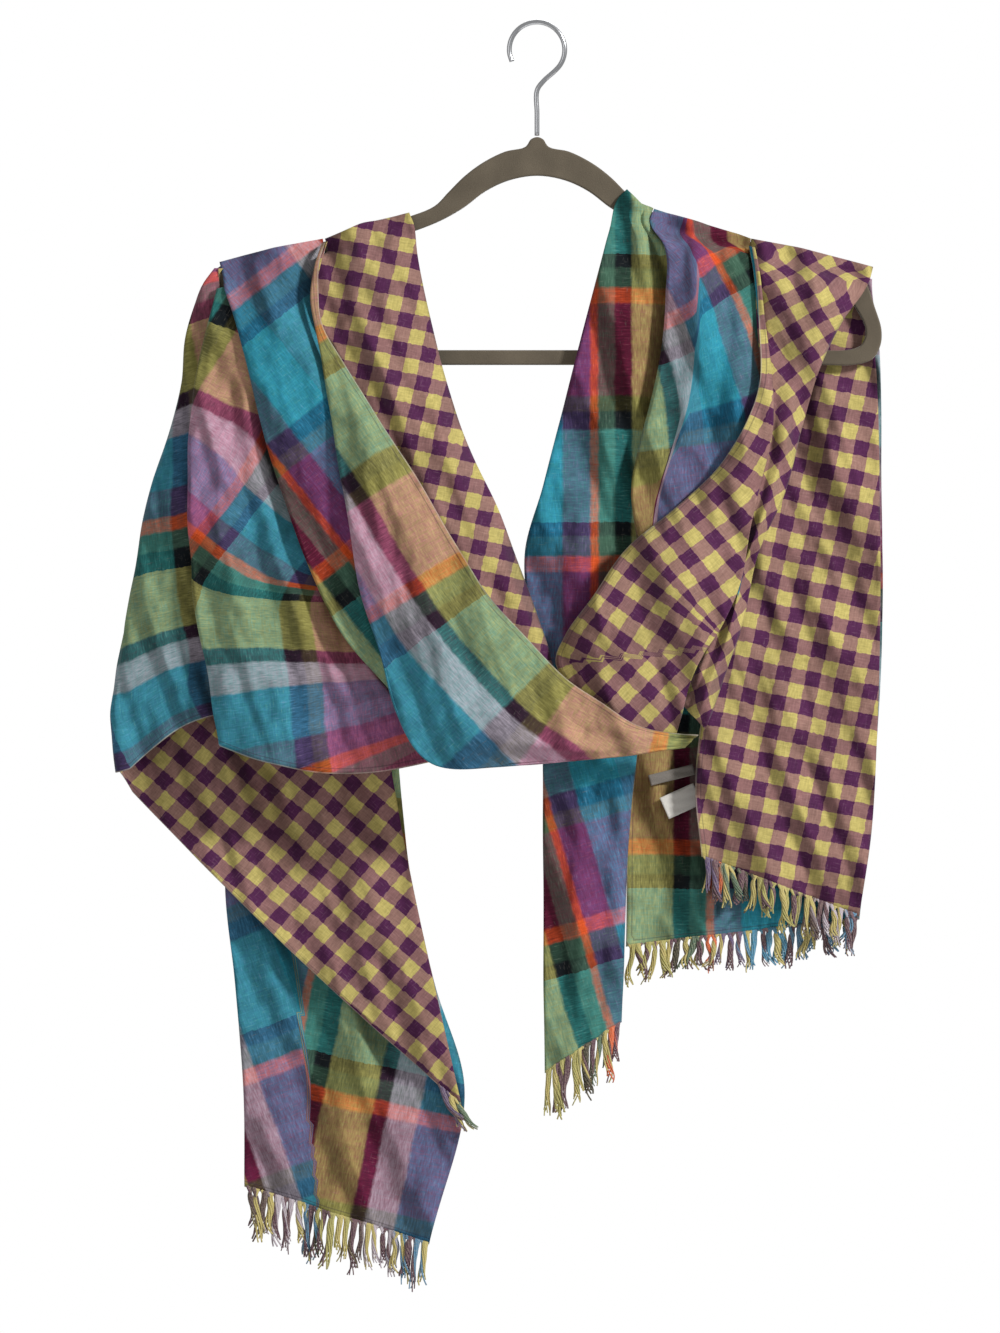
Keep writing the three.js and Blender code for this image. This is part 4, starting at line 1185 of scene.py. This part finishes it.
# Sheets: width and length in metres of the cut of what shows, how it is held, what is sewn to it
SHEETS = [
    ("left_chest_pleat", 0.07, 0.33, "draped"),
    ("left_front_pleat", 0.09, 0.32, "draped"),
    ("front_swag", 0.06, 0.45, "draped"),
    ("left_neck_stretch", 0.065, 0.33, "draped"),
    ("left_outer_fall", 0.22, 0.41, "draped", "fringe_left_corner_threads"),
    ("left_tail_under", 0.10, 0.64, "hung", "fringe_left_tail_threads"),
    ("right_neck_strand", 0.06, 0.58, "draped", "fringe_centre_tail_threads"),
    ("right_shoulder_roll", 0.07, 0.24, "draped"),
    ("right_cowl", 0.06, 0.29, "draped"),
    ("right_shoulder_fall", 0.04, 0.33, "draped"),
    ("right_neck_back", 0.06, 0.12, "draped"),
    ("right_tail", 0.10, 0.39, "hung", "fringe_right_tail_threads"),
    ("right_tail_under", 0.13, 0.44, "hung",
     "fringe_right_under_threads", "label_woven_tape", "label_care_tape"),
]
# For each sheet, the pieces sewn to it; nothing further is done with them
for name, wide, long, held, *sewn in SHEETS:
    facts = {"with_pieces": sewn} if sewn else {}

# Floor, light and camera
FLOOR_Z = -1.6
FLOOR_HALF = 1.6
floor_mesh = bpy.data.meshes.new("floor")
corners = [(-1, -1), (1, -1), (1, 1), (-1, 1)]
floor_mesh.from_pydata([(x * FLOOR_HALF, y * FLOOR_HALF, FLOOR_Z) for x, y in corners], [], [(0, 1, 2, 3)])
floor_g = Graph("floor_pale")
floor_g.shine(0.9, Specular_IOR_Level=0.1)
floor_mesh.materials.append(floor_g.finish(linear((245, 245, 245))))
floor = new_object("floor", floor_mesh)

world = bpy.data.worlds.new("studio")
world.use_nodes = True
studio = world.node_tree
wall = studio.nodes["Background"]
seen = studio.nodes.new("ShaderNodeBackground")
for background, strength in ((wall, 0.33), (seen, 1.0)):
    background.inputs["Color"].default_value = (1.0, 1.0, 1.0, 1.0)
    background.inputs["Strength"].default_value = strength
ray = studio.nodes.new("ShaderNodeLightPath")
choice = studio.nodes.new("ShaderNodeMixShader")
studio.links.new(ray.outputs["Is Camera Ray"], choice.inputs[0])
studio.links.new(wall.outputs[0], choice.inputs[1])
studio.links.new(seen.outputs[0], choice.inputs[2])
studio.links.new(choice.outputs[0], studio.nodes["World Output"].inputs["Surface"])
bpy.context.scene.world = world


# name, place, what it aims at, size, watts
LIGHTS = [
    ("key", (2.5, -2.0, 1.3), (0, 0, -0.4), 0.45, 108),
    ("fill", (-1.9, -2.4, 0.2), (0, 0, -0.5), 1.8, 8),
    ("back_top", (0.4, 2.0, 1.2), (0, 0, -0.35), 1.6, 22),
]
for name, place, aim, size, watts in LIGHTS:
    data = bpy.data.lights.new(name, "AREA")
    data.size = size
    data.energy = watts
    x, y, z = np.subtract(aim, place)
    yaw = math.atan2(x, -y)
    pitch = math.atan2(-z, math.hypot(x, y))
    new_object(name, data, place, (math.pi / 2 - pitch, 0, yaw + math.pi))

# The camera stands level before the middle of the photo, and sees as much of the height as the photo does.
PHOTO_ROWS, PIXEL_MM = 1333, 0.65
PHOTO_X, PHOTO_Z = -0.02405, -0.4173
DISTANCE = 5.0
SENSOR = 36.0
camera_data = bpy.data.cameras.new("photo_camera")
camera_data.sensor_width = SENSOR
camera_data.sensor_fit = "AUTO"
camera_data.lens = SENSOR * DISTANCE / (PHOTO_ROWS * PIXEL_MM * MM)
camera_data.clip_end = 100
place = (PHOTO_X, -DISTANCE, PHOTO_Z)
scene = bpy.context.scene
scene.camera = new_object("photo_camera", camera_data, place, (math.pi / 2, 0, 0))
scene.view_settings.view_transform = "Standard"

bpy.context.view_layer.update()
